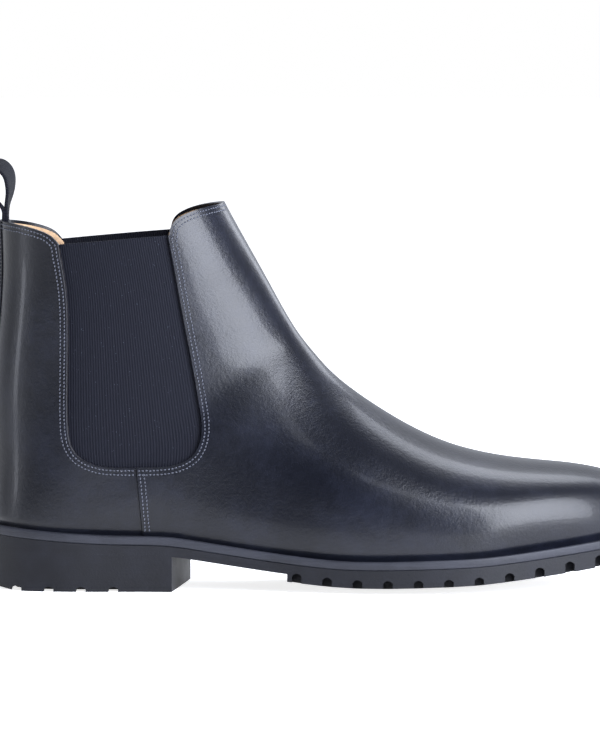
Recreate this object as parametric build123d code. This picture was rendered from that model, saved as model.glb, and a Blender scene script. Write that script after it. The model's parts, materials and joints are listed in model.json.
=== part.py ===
from build123d import *
import math
import os
import numpy as np

# A chelsea boot for the right foot, in millimetres.
# While it is modelled, x runs forward from the back of the heel, y towards the inner (medial)
# side of the foot and z up from the floor. At the end the whole boot is moved so that its
# origin is the bottom centre of its bounding box.

# --- Overall sizes -----------------------------------------------------------------------
boot_length = 303.0          # sole, heel to toe tip
shaft_height = 171.0         # floor to the front peak of the topline
ball_width = 106.0           # sole at the ball of the foot

# The base size that the last's stations are drawn at; the sizes above grade it up or down.
BASE_LENGTH = 303.0
BASE_HEIGHT = 171.0
BASE_WIDTH = 106.0

# --- Upper -------------------------------------------------------------------------------
leather_thickness = 1.6
backing_thickness = 1.2      # gore elastic, counter, toe puff and interlining share one layer
lining_thickness = 1.0
grip_thickness = 0.8
backstay_thickness = 1.1
backstay_width = 13.0
grip_front = 46.0            # how far forward the heel grip reaches
grip_top = 102.0             # height of the heel grip at the back
gore_margin = 8.0            # elastic hidden under the leather round the window
instep_hinge_height = 109.0  # where the front of the shaft folds forward
back_seam_gap = 0.2          # between the two quarters, under the backstay
split_gap = 0.3              # between the folding front and what stays still

# --- Sole --------------------------------------------------------------------------------
welt_thickness = 4.1
welt_reach_heel = 2.6        # how far the sole stands out past the upper
welt_reach_toe = 5.0
welt_inset = 9.0             # how far the welt runs in under the upper
outsole_thickness = 4.3
lug_height = 3.4
lug_pitch = 13.4
lug_gap = 4.2
lug_depth = 13.0             # how far the side notches run in from the edge
tread_start = 134.0          # rear end of the forefoot tread
channel_width = 0.52         # share of the ball's width taken by the middle channels
channel_pitch = 20.1
channel_roof = 0.6           # rubber left between a channel and the plate
crown_rise = 3.3             # how far the edge of the forefoot lifts off the floor
heel_length = 83.0           # measured on the outer side
breast_skew = 6.5            # degrees that the heel breast runs forward to the inner side
heel_width_half = 35.0       # where heel_length is measured, from the middle plane
heel_top_piece = 11.0        # mean thickness of the replaceable rubber top piece
heel_wedge = 1.6             # how much thicker the top piece is at the back
heel_notch_height = 2.4
heel_notch_pitch = 14.3
heel_bevel_length = 14.0     # worn-in bevel under the back of the heel
heel_bevel_rise = 2.7        # height of the bevel at the very back
insole_thickness = 2.2
sock_thickness = 1.5
shank_width = 14.0
shank_thickness = 1.6
shank_from, shank_to = 48.0, 138.0
nail_diameter = 2.2
nail_bottom = 4.0            # height of the nail points above the floor
nail_ring = 19.0             # radius of the ring of nails, front to back
nail_sink = 0.4              # how far the nail heads sit below the top of the insole

# --- Pull loop ---------------------------------------------------------------------------
loop_width = 13.0
loop_thickness = 1.9
loop_height = 23.0           # above its hinge
loop_spread = 12.5           # widest size, front to back
loop_tail_length = 25.0
loop_lift = 2.4              # hinge above the topline

length_grade = boot_length / BASE_LENGTH
height_grade = shaft_height / BASE_HEIGHT
width_grade = ball_width / BASE_WIDTH
upper_thickness = leather_thickness + backing_thickness + lining_thickness
bottom_thickness = welt_thickness + outsole_thickness + lug_height
hinge_z = instep_hinge_height * height_grade
heel_front = heel_length * length_grade
heel_bevel_end = heel_bevel_length * length_grade
tread_back = tread_start * length_grade
shank_start, shank_end = shank_from * length_grade, shank_to * length_grade

# The last: each station is one flat section through the boot, from a point on the front ridge
# line to a point on the bottom or back line. It fans from the toe tip round to the shaft top.
# front x, front z, back x, back z, ridge y, outer half width, inner half width,
# share of the section where it is widest, front roundness, back roundness
STATIONS = (
    (293.0, 10.0, 236.0, -6.0, 5.0, 26.0, 26.0, 0.30, 2.2, 2.2),
    (297.5, 25.0, 235.0, -6.0, 5.0, 28.0, 28.0, 0.30, 2.2, 2.2),
    (296.5, 38.0, 233.0, -6.0, 5.0, 32.0, 31.0, 0.32, 2.2, 2.3),
    (284.0, 48.5, 229.0, -6.0, 4.0, 37.0, 36.0, 0.38, 2.2, 2.5),
    (262.0, 54.3, 221.0, -6.0, 2.5, 42.5, 42.0, 0.42, 2.2, 2.8),
    (235.0, 57.2, 208.0, -6.0, 1.0, 47.5, 46.0, 0.42, 2.2, 3.0),
    (205.0, 64.0, 188.0, -6.0, 1.0, 49.5, 46.0, 0.42, 2.1, 3.0),
    (178.0, 77.5, 160.0, -5.0, 2.0, 48.5, 40.0, 0.40, 2.0, 3.0),
    (158.0, 91.5, 122.0, -2.0, 2.0, 41.5, 32.0, 0.40, 2.0, 3.0),
    (147.5, 102.0, 80.0, 3.0, 1.0, 35.5, 30.0, 0.40, 2.1, 3.0),
    (141.0, 110.0, 38.0, 4.0, 0.0, 33.0, 31.0, 0.38, 2.2, 2.8),
    (136.5, 116.5, 6.0, 6.0, 0.0, 32.5, 31.5, 0.36, 2.3, 2.5),
    (131.5, 125.0, 2.2, 42.0, 0.0, 32.0, 31.0, 0.40, 2.3, 2.3),
    (125.5, 136.0, 2.4, 75.0, 0.0, 31.5, 30.5, 0.46, 2.3, 2.2),
    (118.0, 149.5, 4.6, 105.0, 0.0, 31.5, 30.5, 0.52, 2.3, 2.3),
    (110.5, 163.0, 7.0, 135.0, 0.0, 31.5, 30.5, 0.54, 2.3, 2.3),
    (105.0, 173.5, 6.9, 158.0, 0.0, 31.5, 30.5, 0.54, 2.3, 2.3),
    (100.0, 184.0, 6.6, 180.0, 0.0, 31.5, 30.5, 0.54, 2.3, 2.3),
)

# How far the top of the welt rises above its lowest point, along the middle of the sole.
WELT_RISE = (
    (-8.0, 18.2), (7.0, 16.6), (29.0, 14.6), (62.0, 12.9), (82.0, 12.3), (97.0, 10.2),
    (114.0, 7.2), (133.0, 3.7), (151.0, 1.1), (172.0, 0.0), (200.0, 0.5), (217.0, 1.4),
    (240.0, 4.3), (263.0, 8.0), (285.0, 12.0), (312.0, 17.5),
)

# Side-view curves of the upper, as (x, z).
GORE_WINDOW = (
    (32.5, 176.0), (33.0, 153.4), (36.0, 135.0), (37.0, 114.0), (36.8, 90.0), (37.0, 73.0),
    (39.5, 62.5), (47.0, 56.8), (58.0, 54.9), (70.0, 54.9), (84.0, 56.0), (92.5, 60.5),
    (96.2, 69.5), (95.3, 82.0), (92.2, 100.0), (88.0, 122.0), (83.5, 147.0), (80.6, 162.0),
    (78.0, 176.0),
)
REAR_TOPLINE = ((-12.0, 165.2), (7.0, 164.9), (16.0, 163.0), (24.4, 160.4), (30.0, 157.2), (33.0, 153.4))
FRONT_TOPLINE = ((81.9, 155.9), (82.6, 160.2), (84.6, 163.6), (88.5, 166.3), (96.1, 169.0),
                 (106.0, 171.0), (130.0, 174.5))
SIDE_SEAM = ((71.5, -20.0), (70.4, 22.0), (69.4, 40.0), (67.5, 54.0), (64.0, 90.0), (58.0, 190.0))
COUNTER_TOP = ((-20.0, 76.5), (4.0, 75.0), (16.0, 69.0), (24.0, 57.5), (31.0, 49.0),
               (43.0, 44.5), (64.0, 43.5), (86.0, 42.0), (94.0, 30.0), (97.0, -20.0))
TOE_PUFF_EDGE = ((232.0, -20.0), (240.0, 30.0), (252.0, 90.0))
LINING_SEAM_SHIFT = -6.0     # the lining seam sits behind the leather seam
GRIP_FALL = ((1.0, 0.59), (0.83, 0.82), (0.48, 0.96))   # shares of the grip's reach and height
NAIL_TURNS = (-130.0, -60.0, 0.0, 60.0, 130.0)          # degrees round the ring of nails
NAIL_RING_SHAPE = 0.8        # the ring's width over its length

topline_back_z = REAR_TOPLINE[1][1] * height_grade
tail_front = 40.0 * length_grade
tail_bottom = topline_back_z - loop_tail_length
loop_x = REAR_TOPLINE[1][0] * length_grade + leather_thickness + backing_thickness / 2
hinge_z_loop = topline_back_z + loop_lift

STATION_SPAN = (0.02, len(STATIONS) - 1.02)
SECTIONS = 31                # sections that the last is lofted through
HALF_SPANS = 18              # spans of the curve along each half of a section
REACH = 90.0                 # half width of every side-view cutter, wider than the boot
SAME_POINT = 1e-6
FLOOR_CUT = 70.0             # depth of the cut below the welt, deeper than the last
SOLE_SPAN = (-15.0, 60.0)    # heights that the sole's plan prisms run between
NOTCH_SHOULDER, NOTCH_CREST = 0.55, 0.92   # shares of the lug height


# --- Curves and surfaces -----------------------------------------------------------------
def natural_spline(knots, values, at):
    """Value of the natural cubic spline through (knots, values) at each place in at."""
    count = len(knots)
    step = np.diff(knots)
    system = np.eye(count)
    right = np.zeros(values.shape)
    for i in range(1, count - 1):
        system[i, i - 1 : i + 2] = step[i - 1], 2 * (step[i - 1] + step[i]), step[i]
        slope_after = (values[i + 1] - values[i]) / step[i]
        slope_before = (values[i] - values[i - 1]) / step[i - 1]
        right[i] = 6 * (slope_after - slope_before)
    bend = np.linalg.solve(system, right)
    k = np.clip(np.searchsorted(knots, at) - 1, 0, count - 2)
    width = step[k][:, None]
    left = (knots[k + 1] - at)[:, None]
    past = (at - knots[k])[:, None]
    curved = (bend[k] * left**3 + bend[k + 1] * past**3) / (6 * width)
    from_left = (values[k] / width - bend[k] * width / 6) * left
    from_right = (values[k + 1] / width - bend[k + 1] * width / 6) * past
    return curved + from_left + from_right


def last_points(stations, angles):
    """Grid of points on the last: one flat superellipse-like section for each station number.
    Angle 0 is the front ridge, 90 degrees the outer side and 180 the bottom or back line."""
    table = np.array(STATIONS)
    row = natural_spline(np.arange(float(len(table))), table, np.asarray(stations, float))
    front_x, front_z, back_x, back_z, ridge, outer, inner, widest, front_n, back_n = (
        row[:, i, None] for i in range(10)
    )
    cosine = np.cos(angles)[None, :]
    sine = np.sin(angles)[None, :]
    power = (front_n + back_n) / 2 + (front_n - back_n) / 2 * cosine
    radius = (np.abs(cosine) ** power + np.abs(sine) ** power) ** (-1 / power)
    reach = radius * cosine
    share = widest + np.where(reach > 0, (1 - widest) * reach, widest * reach)
    x = back_x + share * (front_x - back_x)
    y = ridge - np.where(sine > 0, outer, inner) * radius * sine
    z = back_z + share * (front_z - back_z)
    return np.stack([x * length_grade, y * width_grade, z * height_grade], -1)


def unit(vectors):
    return vectors / np.linalg.norm(vectors, axis=-1, keepdims=True)


def offset_points(stations, angles, outward):
    """The last's points moved outward (or inward, below 0) by a wall thickness, each kept in
    the plane of its own section."""
    small = 1e-4
    here = last_points(stations, angles)
    along = last_points(stations, angles + small) - last_points(stations, angles - small)
    across = last_points(stations + small, angles) - last_points(stations - small, angles)
    normal = unit(np.cross(across, along))
    ends = last_points(stations, np.array([0.0, math.pi]))
    spine = unit(ends[:, :1] - ends[:, 1:])
    spine[..., 1] = 0
    spine = unit(spine)
    flat = along[..., 1:2] * np.array([0.0, 1.0, 0.0]) + np.sum(along * spine, -1, keepdims=True) * spine
    flat = unit(flat)
    in_plane = np.stack(
        [-flat[..., 1] * spine[..., 0], np.sum(flat * spine, -1), -flat[..., 1] * spine[..., 2]], -1
    )
    lean = np.sum(in_plane * normal, -1, keepdims=True)
    return here + in_plane * outward / np.where(np.abs(lean) < 0.3, 0.3 * np.sign(lean), lean)


def last_solid(outward):
    """Closed solid of the last, grown outward by a distance. Each section is an outer and an
    inner half that meet on the ridge and on the back line."""
    stations = np.linspace(*STATION_SPAN, SECTIONS)
    angles = math.pi * np.linspace(-1, 1, 2 * HALF_SPANS + 1)
    places = [float(p) for p in np.linspace(0, 1, HALF_SPANS + 1)]
    grid = offset_points(stations, angles, outward)
    grid[:, -1] = grid[:, 0]
    sections = []
    for row in grid:
        halves = (row[: HALF_SPANS + 1], row[HALF_SPANS:])
        sections.append(Wire([Edge.make_spline([Vector(*p) for p in half], parameters=places)
                              for half in halves]))
    return Solid.make_loft(sections)


def crown(x):
    """Sideways curvature of the sole: flat under the heel, crowned under the forefoot."""
    start, full = 90.0 * length_grade, 150.0 * length_grade
    ramp = np.clip((x - start) / (full - start), 0, 1)
    return crown_rise / (ball_width / 2) ** 2 * ramp * ramp * (3 - 2 * ramp)


def welt_height(x, y):
    """Height of the welt's top face, which is also the feather line of the upper."""
    table = np.array(WELT_RISE)
    rise = natural_spline(table[:, 0] * length_grade, table[:, 1:], np.ravel(x))[:, 0]
    return bottom_thickness + rise.reshape(np.shape(x)) + crown(x) * y * y


def welt_slab(top, thickness):
    """Everything from a height above the welt's top face down by a thickness."""
    xs = np.linspace(-9, BASE_LENGTH + 8, 34) * length_grade
    ys = np.linspace(-REACH, REACH, 13)
    rows = [[Vector(x, y, float(welt_height(np.array([x]), y)[0]) + top) for y in ys] for x in xs]
    face = Face.make_surface_from_array_of_points(rows, tol=1e-3, min_deg=3)
    return Solid.extrude(face, Vector(0, 0, -thickness))


def feather_outline(reach):
    """Closed plan-view curve where the upper meets the welt, moved out by reach(share), where
    share runs from 0 at the heel to 1 at the toe. Negative values move it in."""
    stations = np.linspace(*STATION_SPAN, 700)
    sides = []
    for turn in (1, -1):
        grid = last_points(stations, turn * np.linspace(0, math.pi, 361))
        above = grid[..., 2] - welt_height(grid[..., 0], grid[..., 1])
        crossing = []
        for points, heights in zip(grid, above):
            below = np.nonzero(heights < 0)[0]
            if heights[0] > 0 and len(below):
                k = below[0]
                share = heights[k - 1] / (heights[k - 1] - heights[k])
                crossing.append(points[k - 1] + share * (points[k] - points[k - 1]))
        sides.append(np.array(crossing)[:, :2])
    loop = np.vstack([sides[0], sides[1][::-1]])
    walked = np.concatenate([[0], np.cumsum(np.linalg.norm(np.diff(loop, axis=0, append=loop[:1]), axis=1))])
    closed = np.vstack([loop, loop[:1]])
    places = np.linspace(0, walked[-1], 361)[:-1]
    even = np.stack([np.interp(places, walked, closed[:, i]) for i in (0, 1)], -1)
    for _ in range(12):
        even = (np.roll(even, 1, 0) + 2 * even + np.roll(even, -1, 0)) / 4
    tangent = unit(np.roll(even, -2, 0) - np.roll(even, 2, 0))
    outward = np.stack([-tangent[:, 1], tangent[:, 0]], -1)
    if np.sum(outward * (even - even.mean(0))) < 0:
        outward = -outward
    share = (even[:, :1] - even[:, 0].min()) / np.ptp(even[:, 0])
    return even + outward * reach(share)


def welt_reach(share):
    """The welt stands out further at the forefoot than round the heel and waist."""
    ramp = np.clip((share - 0.35) / 0.35, 0, 1)
    return welt_reach_heel + (welt_reach_toe - welt_reach_heel) * ramp * ramp * (3 - 2 * ramp)


def plan_prism(reach, low, high, points=72):
    """Upright prism on the feather outline moved out by reach."""
    outline = feather_outline(reach)
    chosen = outline[:: len(outline) // points]
    curve = Edge.make_spline([Vector(x, y, low) for x, y in chosen], periodic=True)
    return Solid.extrude(Face(Wire([curve])), Vector(0, 0, high - low))


def graded(points):
    return [(x * length_grade, z * height_grade) for x, z in points]


def side_prism(runs, y_from=-REACH, y_to=REACH):
    """Prism across the boot on a closed side-view outline. Each run is a list of (x, z) points:
    two make a straight line and more make a smooth curve. A line closes the outline."""
    edges = []
    for number, run in enumerate(runs):
        corner = runs[number - 1][-1]
        start, *rest = [Vector(x, y_from, z) for x, z in run]
        if math.dist(corner, run[0]) > SAME_POINT:
            edges.append(Edge.make_line(Vector(corner[0], y_from, corner[1]), start))
        if len(rest) == 1:
            edges.append(Edge.make_line(start, rest[0]))
        else:
            edges.append(Edge.make_spline([start, *rest]))
    return Solid.extrude(Face(Wire(edges)), Vector(0, y_to - y_from, 0))


def box_between(x0, x1, y0, y1, z0, z1):
    return Pos((x0 + x1) / 2, (y0 + y1) / 2, (z0 + z1) / 2) * Box(x1 - x0, y1 - y0, z1 - z0)


def only(shape):
    """The solids of a cut or a join, as one shape."""
    solids = shape.solids()
    return solids[0] if len(solids) == 1 else Compound(children=list(solids))


# --- Cutters that several pieces share ---------------------------------------------------
BACK, FRONT, SKY = -40.0, boot_length + 40.0, shaft_height + 60.0
OUTER_SIDE, INNER_SIDE = (-REACH, -back_seam_gap / 2), (back_seam_gap / 2, REACH)


def above_topline():
    return side_prism([graded(REAR_TOPLINE), graded(FRONT_TOPLINE), [(FRONT, SKY), (BACK, SKY)]])


def gore_window(shift=0.0):
    return side_prism([[(x + shift, z) for x, z in graded(GORE_WINDOW)]])


def gore_patch():
    """The whole elastic panel: the window with its hidden margin all round."""
    curve = np.array(graded(GORE_WINDOW))
    tangent = unit(np.gradient(curve, axis=0))
    grown = curve + np.stack([tangent[:, 1], -tangent[:, 0]], -1) * gore_margin
    grown[0, 1] = grown[-1, 1] = curve[0, 1]
    return side_prism([[tuple(p) for p in grown]])


def front_half(shift=0.0):
    seam = [(x + shift, z) for x, z in graded(SIDE_SEAM)]
    return side_prism([seam, [(seam[-1][0], SKY), (FRONT, SKY)], [(FRONT, seam[0][1]), seam[0]]])


def rear_half(sides, shift=0.0):
    seam = [(x + shift, z) for x, z in graded(SIDE_SEAM)]
    return side_prism([seam, [(seam[-1][0], SKY), (BACK, SKY)], [(BACK, seam[0][1]), seam[0]]], *sides)


def above(height):
    return box_between(BACK, FRONT, -REACH, REACH, height, SKY)


def counter_zone():
    return side_prism([graded(COUNTER_TOP), [(BACK, -20.0 * height_grade), (BACK, 76.5 * height_grade)]])


def toe_puff_zone():
    return side_prism([graded(TOE_PUFF_EDGE), [(FRONT, 90.0 * height_grade), (FRONT, -20.0 * height_grade)]])


def behind_breast():
    """Everything behind the skewed front face of the heel."""
    skew = math.tan(math.radians(breast_skew))
    heel_edge = heel_width_half * width_grade
    outline = [(BACK, -REACH), (heel_front - skew * (REACH - heel_edge), -REACH),
               (heel_front + skew * (REACH + heel_edge), REACH), (BACK, REACH)]
    face = Face(Wire.make_polygon([Vector(x, y, -FLOOR_CUT) for x, y in outline]))
    return Solid.extrude(face, Vector(0, 0, 2 * FLOOR_CUT))


# --- Upper -------------------------------------------------------------------------------
def make_shell(outer_solid, inner_solid):
    """One layer of the upper, trimmed at the topline and at the welt."""
    return (outer_solid - above_topline() - welt_slab(0.0, FLOOR_CUT)) - inner_solid


def make_leather(shell, parts):
    window, folding = gore_window(), above(hinge_z)
    still = above(hinge_z - split_gap)
    front = (shell & front_half()) - window
    parts["vamp"] = front - still
    parts["front_shaft"] = front & folding
    parts["lateral_quarter"] = (shell & rear_half(OUTER_SIDE)) - window
    parts["medial_quarter"] = (shell & rear_half(INNER_SIDE)) - window


def make_lining(shell, parts):
    window, folding = gore_window(), above(hinge_z)
    still = above(hinge_z - split_gap)
    front = (shell & front_half(LINING_SEAM_SHIFT)) - window
    parts["vamp_lining"] = front - still
    parts["front_shaft_lining"] = front & folding
    for side, reach in (("lateral", OUTER_SIDE), ("medial", INNER_SIDE)):
        parts[side + "_quarter_lining"] = (shell & rear_half(reach, LINING_SEAM_SHIFT)) - window


def make_middle_layer(shell, parts):
    """The pieces between leather and lining: elastic gores, counter, toe puff, loop tail and
    the interlining that fills the rest."""
    patch, counter, puff = gore_patch(), counter_zone(), toe_puff_zone()
    tail = box_between(BACK, tail_front, -loop_width / 2, loop_width / 2, tail_bottom, SKY)
    moving_front = (front_half() & above(hinge_z - split_gap)) - gore_window(-split_gap)
    for side, reach in (("lateral", OUTER_SIDE), ("medial", INNER_SIDE)):
        half = box_between(BACK, FRONT, *reach, -20, SKY)
        parts[side + "_gore"] = ((shell & patch) & half) - moving_front
        quarter = (shell & rear_half(reach)) - patch - counter
        parts[side + "_quarter_backing"] = quarter - tail
    parts["pull_loop_tail"] = shell & tail
    parts["heel_counter"] = shell & counter
    parts["toe_puff"] = shell & puff
    front = (shell & front_half()) - counter - puff
    parts["vamp_backing"] = front - patch - above(hinge_z - split_gap)
    parts["front_shaft_backing"] = (front & above(hinge_z)) - gore_window()


def make_backstay(last, parts):
    strip = box_between(BACK, heel_front / 2, -backstay_width / 2, backstay_width / 2, -FLOOR_CUT, SKY)
    strip = strip - above_topline() - welt_slab(0.0, FLOOR_CUT)
    parts["backstay"] = (last_solid(backstay_thickness) & strip) - last


def make_heel_grip(cavity, parts):
    front, top = grip_front * length_grade, grip_top * height_grade
    fall = [(front * along, top * up) for along, up in GRIP_FALL]
    region = side_prism([[(BACK, 0), (front, 0)], fall + [(BACK, top)]])
    region = region - welt_slab(insole_thickness + sock_thickness, FLOOR_CUT)
    parts["heel_grip"] = (cavity & region) - last_solid(-upper_thickness - grip_thickness)


# --- Pull loop ---------------------------------------------------------------------------
def teardrop(shrink):
    """Side outline of the loop, pointed end down: a round head that narrows to its neck."""
    half = loop_spread / 2 - shrink
    neck = max(loop_thickness - shrink, 0.35)
    top = hinge_z_loop + loop_height - shrink
    low = hinge_z_loop - loop_thickness + shrink * 2.4
    middle = hinge_z_loop + loop_height * 0.58
    right = [(neck * 0.8, low + 0.9), (neck, low + 2.6), (half * 0.86, middle - 5.0), (half, middle),
             (half * 0.72, top - 2.6), (0.0, top)]
    left = [(-x, z) for x, z in right[::-1]]
    return [(loop_x + x, z) for x, z in right + left[1:]]


def make_pull_loop(parts):
    edges = []
    for shrink in (0.0, loop_thickness):
        curve = Edge.make_spline([Vector(x, -loop_width / 2, z) for x, z in teardrop(shrink)])
        bottom = Edge.make_line(curve @ 1, curve @ 0)
        edges.append(Solid.extrude(Face(Wire([curve, bottom])), Vector(0, loop_width, 0)))
    parts["pull_loop"] = edges[0] - edges[1]


# --- Sole --------------------------------------------------------------------------------
def edge_notches(first, last, pitch, width, height, base):
    """Arched notches in both side edges. base(x) is the height of the tread surface."""
    notches = []
    x = first
    while x <= last:
        rear, front, foot = x - width / 2, x + width / 2, base(x) - height
        shoulder, crest = base(x) + height * NOTCH_SHOULDER, base(x) + height * NOTCH_CREST
        arch = [(rear, shoulder), (x, crest), (front, shoulder)]
        sides = [(rear, foot), (rear, shoulder)], [(front, shoulder), (front, foot)]
        notches.append(side_prism([sides[0], arch, sides[1]]))
        x += pitch
    return notches


def edge_ring(depth):
    """The zone within a depth of the sole's side edge."""
    whole = plan_prism(lambda share: welt_reach(share) + 6, *SOLE_SPAN)
    core = plan_prism(lambda share: welt_reach(share) - depth, *SOLE_SPAN)
    return whole - core


def tread_height(x, y):
    """Height of the walking surface of the lugs."""
    return float(welt_height(np.array([x]), np.array([y]))[0]) - bottom_thickness


def make_sole(cavity, parts):
    outside = plan_prism(welt_reach, *SOLE_SPAN)
    inside = plan_prism(lambda share: -welt_inset + 0 * share, *SOLE_SPAN)
    shank_zone = (Pos((shank_start + shank_end) / 2, 0, 0)
                  * extrude(SlotOverall(shank_end - shank_start, shank_width), FLOOR_CUT, both=True))
    nails = [nail_at(x, y) for x, y in nail_places()]
    welt = welt_slab(0.0, welt_thickness) & outside
    parts["welt"] = welt - inside
    parts["shank"] = drill(welt_slab(0.0, shank_thickness) & shank_zone, nails)
    parts["cork_filler"] = drill((welt & inside) - parts["shank"], nails)
    parts["insole"] = drill(welt_slab(insole_thickness, insole_thickness) & cavity, nails)
    parts["sock"] = welt_slab(insole_thickness + sock_thickness, sock_thickness) & cavity
    below_plate = welt_slab(-welt_thickness - outsole_thickness, FLOOR_CUT)
    parts["outsole"] = make_outsole(outside, below_plate, nails)
    make_heel(outside, nails, below_plate, parts)
    parts["heel_nails"] = Compound(children=nails)


def make_outsole(outside, below_plate, nails):
    """Rubber plate with lugs under the forefoot, notched along both edges and channelled in
    the middle. The waist and the heel seat have no lugs."""
    plate = drill(welt_slab(-welt_thickness, outsole_thickness + lug_height) & outside, nails)
    plate = plate - (below_plate & box_between(BACK, tread_back, -REACH, REACH, -FLOOR_CUT, SKY))
    ring = edge_ring(lug_depth)
    edge = ball_width / 2
    for notch in edge_notches(tread_back + lug_gap, boot_length - 2 * lug_pitch, lug_pitch, lug_gap,
                              lug_height, lambda x: tread_height(x, edge)):
        plate = plate - (notch & ring)
    for channel in middle_channels():
        plate = plate - channel
    return plate


def middle_channels():
    """Cross channels in the middle of the forefoot tread."""
    half = ball_width * channel_width / 2
    channels = []
    x = tread_back + channel_pitch / 2
    while x < boot_length - 2 * channel_pitch:
        top = tread_height(x, 0.0) + lug_height - channel_roof
        channels.append(box_between(x - lug_gap / 2, x + lug_gap / 2, -half, half, -FLOOR_CUT, top))
        x += channel_pitch
    return channels


def drill(shape, nails):
    """The shape with a hole for each nail that passes through it."""
    for nail in nails:
        shape = shape - nail
    return shape


def nail_places():
    """Five nails round the heel seat."""
    ring = nail_ring * width_grade
    turns = [math.radians(turn) for turn in NAIL_TURNS]
    side = ring * NAIL_RING_SHAPE
    return [(heel_front / 2 - ring * math.cos(turn), side * math.sin(turn)) for turn in turns]


def nail_at(x, y):
    top = float(welt_height(np.array([x]), np.array([y]))[0]) + insole_thickness - nail_sink
    nail = Pos(x, y, (nail_bottom + top) / 2) * Cylinder(nail_diameter / 2, top - nail_bottom)
    return nail.solids()[0]


def make_heel(outside, nails, below_plate, parts):
    """Heel base and rubber top piece, parted by a slightly sloping plane."""
    heel = behind_breast() & outside & below_plate
    rear, fore = heel_top_piece + heel_wedge / 2, heel_top_piece - heel_wedge / 2
    beyond = heel_front + REACH
    fall = heel_wedge * REACH / (heel_front - BACK)
    low_zone = side_prism([[(BACK, rear), (beyond, fore - fall)], [(beyond, -FLOOR_CUT), (BACK, -FLOOR_CUT)]])
    parts["heel_base"] = drill(heel - low_zone, nails)
    under_floor = box_between(BACK, FRONT, -REACH, REACH, -FLOOR_CUT - 1, 0)
    top_piece = drill((heel & low_zone) - under_floor, nails)
    slope = heel_bevel_rise / heel_bevel_end
    bevel_back = (heel_bevel_end - BACK) * slope
    bevel = side_prism([[(BACK, 0), (heel_bevel_end, 0)], [(heel_bevel_end, 0), (BACK, bevel_back)]])
    top_piece = top_piece - bevel
    ring = edge_ring(lug_depth)
    for notch in edge_notches(heel_notch_pitch, heel_front - lug_depth, heel_notch_pitch, lug_gap,
                              heel_notch_height, lambda x: 0.0):
        top_piece = top_piece - (notch & ring)
    parts["heel_top_piece"] = top_piece


def build():
    parts = {}
    last = last_solid(0.0)
    under_leather = last_solid(-leather_thickness)
    under_backing = last_solid(-leather_thickness - backing_thickness)
    cavity = last_solid(-upper_thickness)
    make_leather(make_shell(last, under_leather), parts)
    make_middle_layer(make_shell(under_leather, under_backing), parts)
    make_lining(make_shell(under_backing, cavity), parts)
    make_backstay(last, parts)
    make_heel_grip(cavity, parts)
    make_pull_loop(parts)
    make_sole(cavity, parts)
    return {name: only(shape) for name, shape in parts.items()}


def main():
    parts = build()
    box = Compound([solid for shape in parts.values() for solid in shape.solids()]).bounding_box()
    shift = Pos(-box.center().X, -box.center().Y, 0)
    os.makedirs("parts", exist_ok=True)
    for name, shape in parts.items():
        export_step(shift * shape, os.path.join("parts", name + ".step"))
    print("origin moved by", round(-box.center().X, 3), round(-box.center().Y, 3))


main()
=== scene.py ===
import json
import math

import bpy
import numpy as np
from bpy.props import FloatProperty, FloatVectorProperty, PointerProperty
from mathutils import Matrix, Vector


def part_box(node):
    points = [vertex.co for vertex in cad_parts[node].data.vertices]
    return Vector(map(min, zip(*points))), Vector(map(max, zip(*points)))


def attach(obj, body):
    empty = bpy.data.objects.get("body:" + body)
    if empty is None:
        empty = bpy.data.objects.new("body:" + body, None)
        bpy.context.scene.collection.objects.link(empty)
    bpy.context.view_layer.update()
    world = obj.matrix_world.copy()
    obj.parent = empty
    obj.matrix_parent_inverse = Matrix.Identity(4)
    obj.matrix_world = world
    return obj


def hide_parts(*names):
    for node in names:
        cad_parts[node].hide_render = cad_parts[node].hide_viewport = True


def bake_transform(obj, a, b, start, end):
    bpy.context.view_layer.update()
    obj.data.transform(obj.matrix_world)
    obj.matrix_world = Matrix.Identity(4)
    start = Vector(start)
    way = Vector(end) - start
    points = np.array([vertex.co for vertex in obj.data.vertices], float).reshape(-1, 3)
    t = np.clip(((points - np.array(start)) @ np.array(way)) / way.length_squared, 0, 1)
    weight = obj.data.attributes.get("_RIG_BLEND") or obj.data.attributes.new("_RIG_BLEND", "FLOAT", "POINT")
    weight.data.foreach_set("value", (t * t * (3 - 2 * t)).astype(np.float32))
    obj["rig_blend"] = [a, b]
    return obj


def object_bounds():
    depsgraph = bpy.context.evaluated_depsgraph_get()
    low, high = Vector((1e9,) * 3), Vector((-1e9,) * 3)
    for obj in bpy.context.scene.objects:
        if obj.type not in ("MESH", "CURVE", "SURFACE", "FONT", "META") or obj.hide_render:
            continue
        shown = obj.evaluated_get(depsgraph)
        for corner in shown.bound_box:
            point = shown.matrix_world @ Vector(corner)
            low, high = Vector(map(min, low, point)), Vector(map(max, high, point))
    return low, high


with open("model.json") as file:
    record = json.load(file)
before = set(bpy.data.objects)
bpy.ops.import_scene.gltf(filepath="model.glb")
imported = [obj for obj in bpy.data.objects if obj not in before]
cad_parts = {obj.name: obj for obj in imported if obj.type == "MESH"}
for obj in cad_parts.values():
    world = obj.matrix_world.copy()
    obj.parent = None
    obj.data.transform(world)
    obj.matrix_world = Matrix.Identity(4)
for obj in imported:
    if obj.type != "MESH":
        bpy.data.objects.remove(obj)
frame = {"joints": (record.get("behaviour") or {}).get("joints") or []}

bl_info = {
    "name": "Chelsea Boot",
    "version": (1, 0, 0),
    "blender": (4, 5, 0),
    "location": "3D Viewport > Sidebar > Boot",
    "description": "Leather, elastic, lining, stitching and studio for a chelsea boot on its CAD frame",
    "category": "Object",
}

CAD_BOX = [list(corner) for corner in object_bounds()]
MM = 0.001

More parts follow.
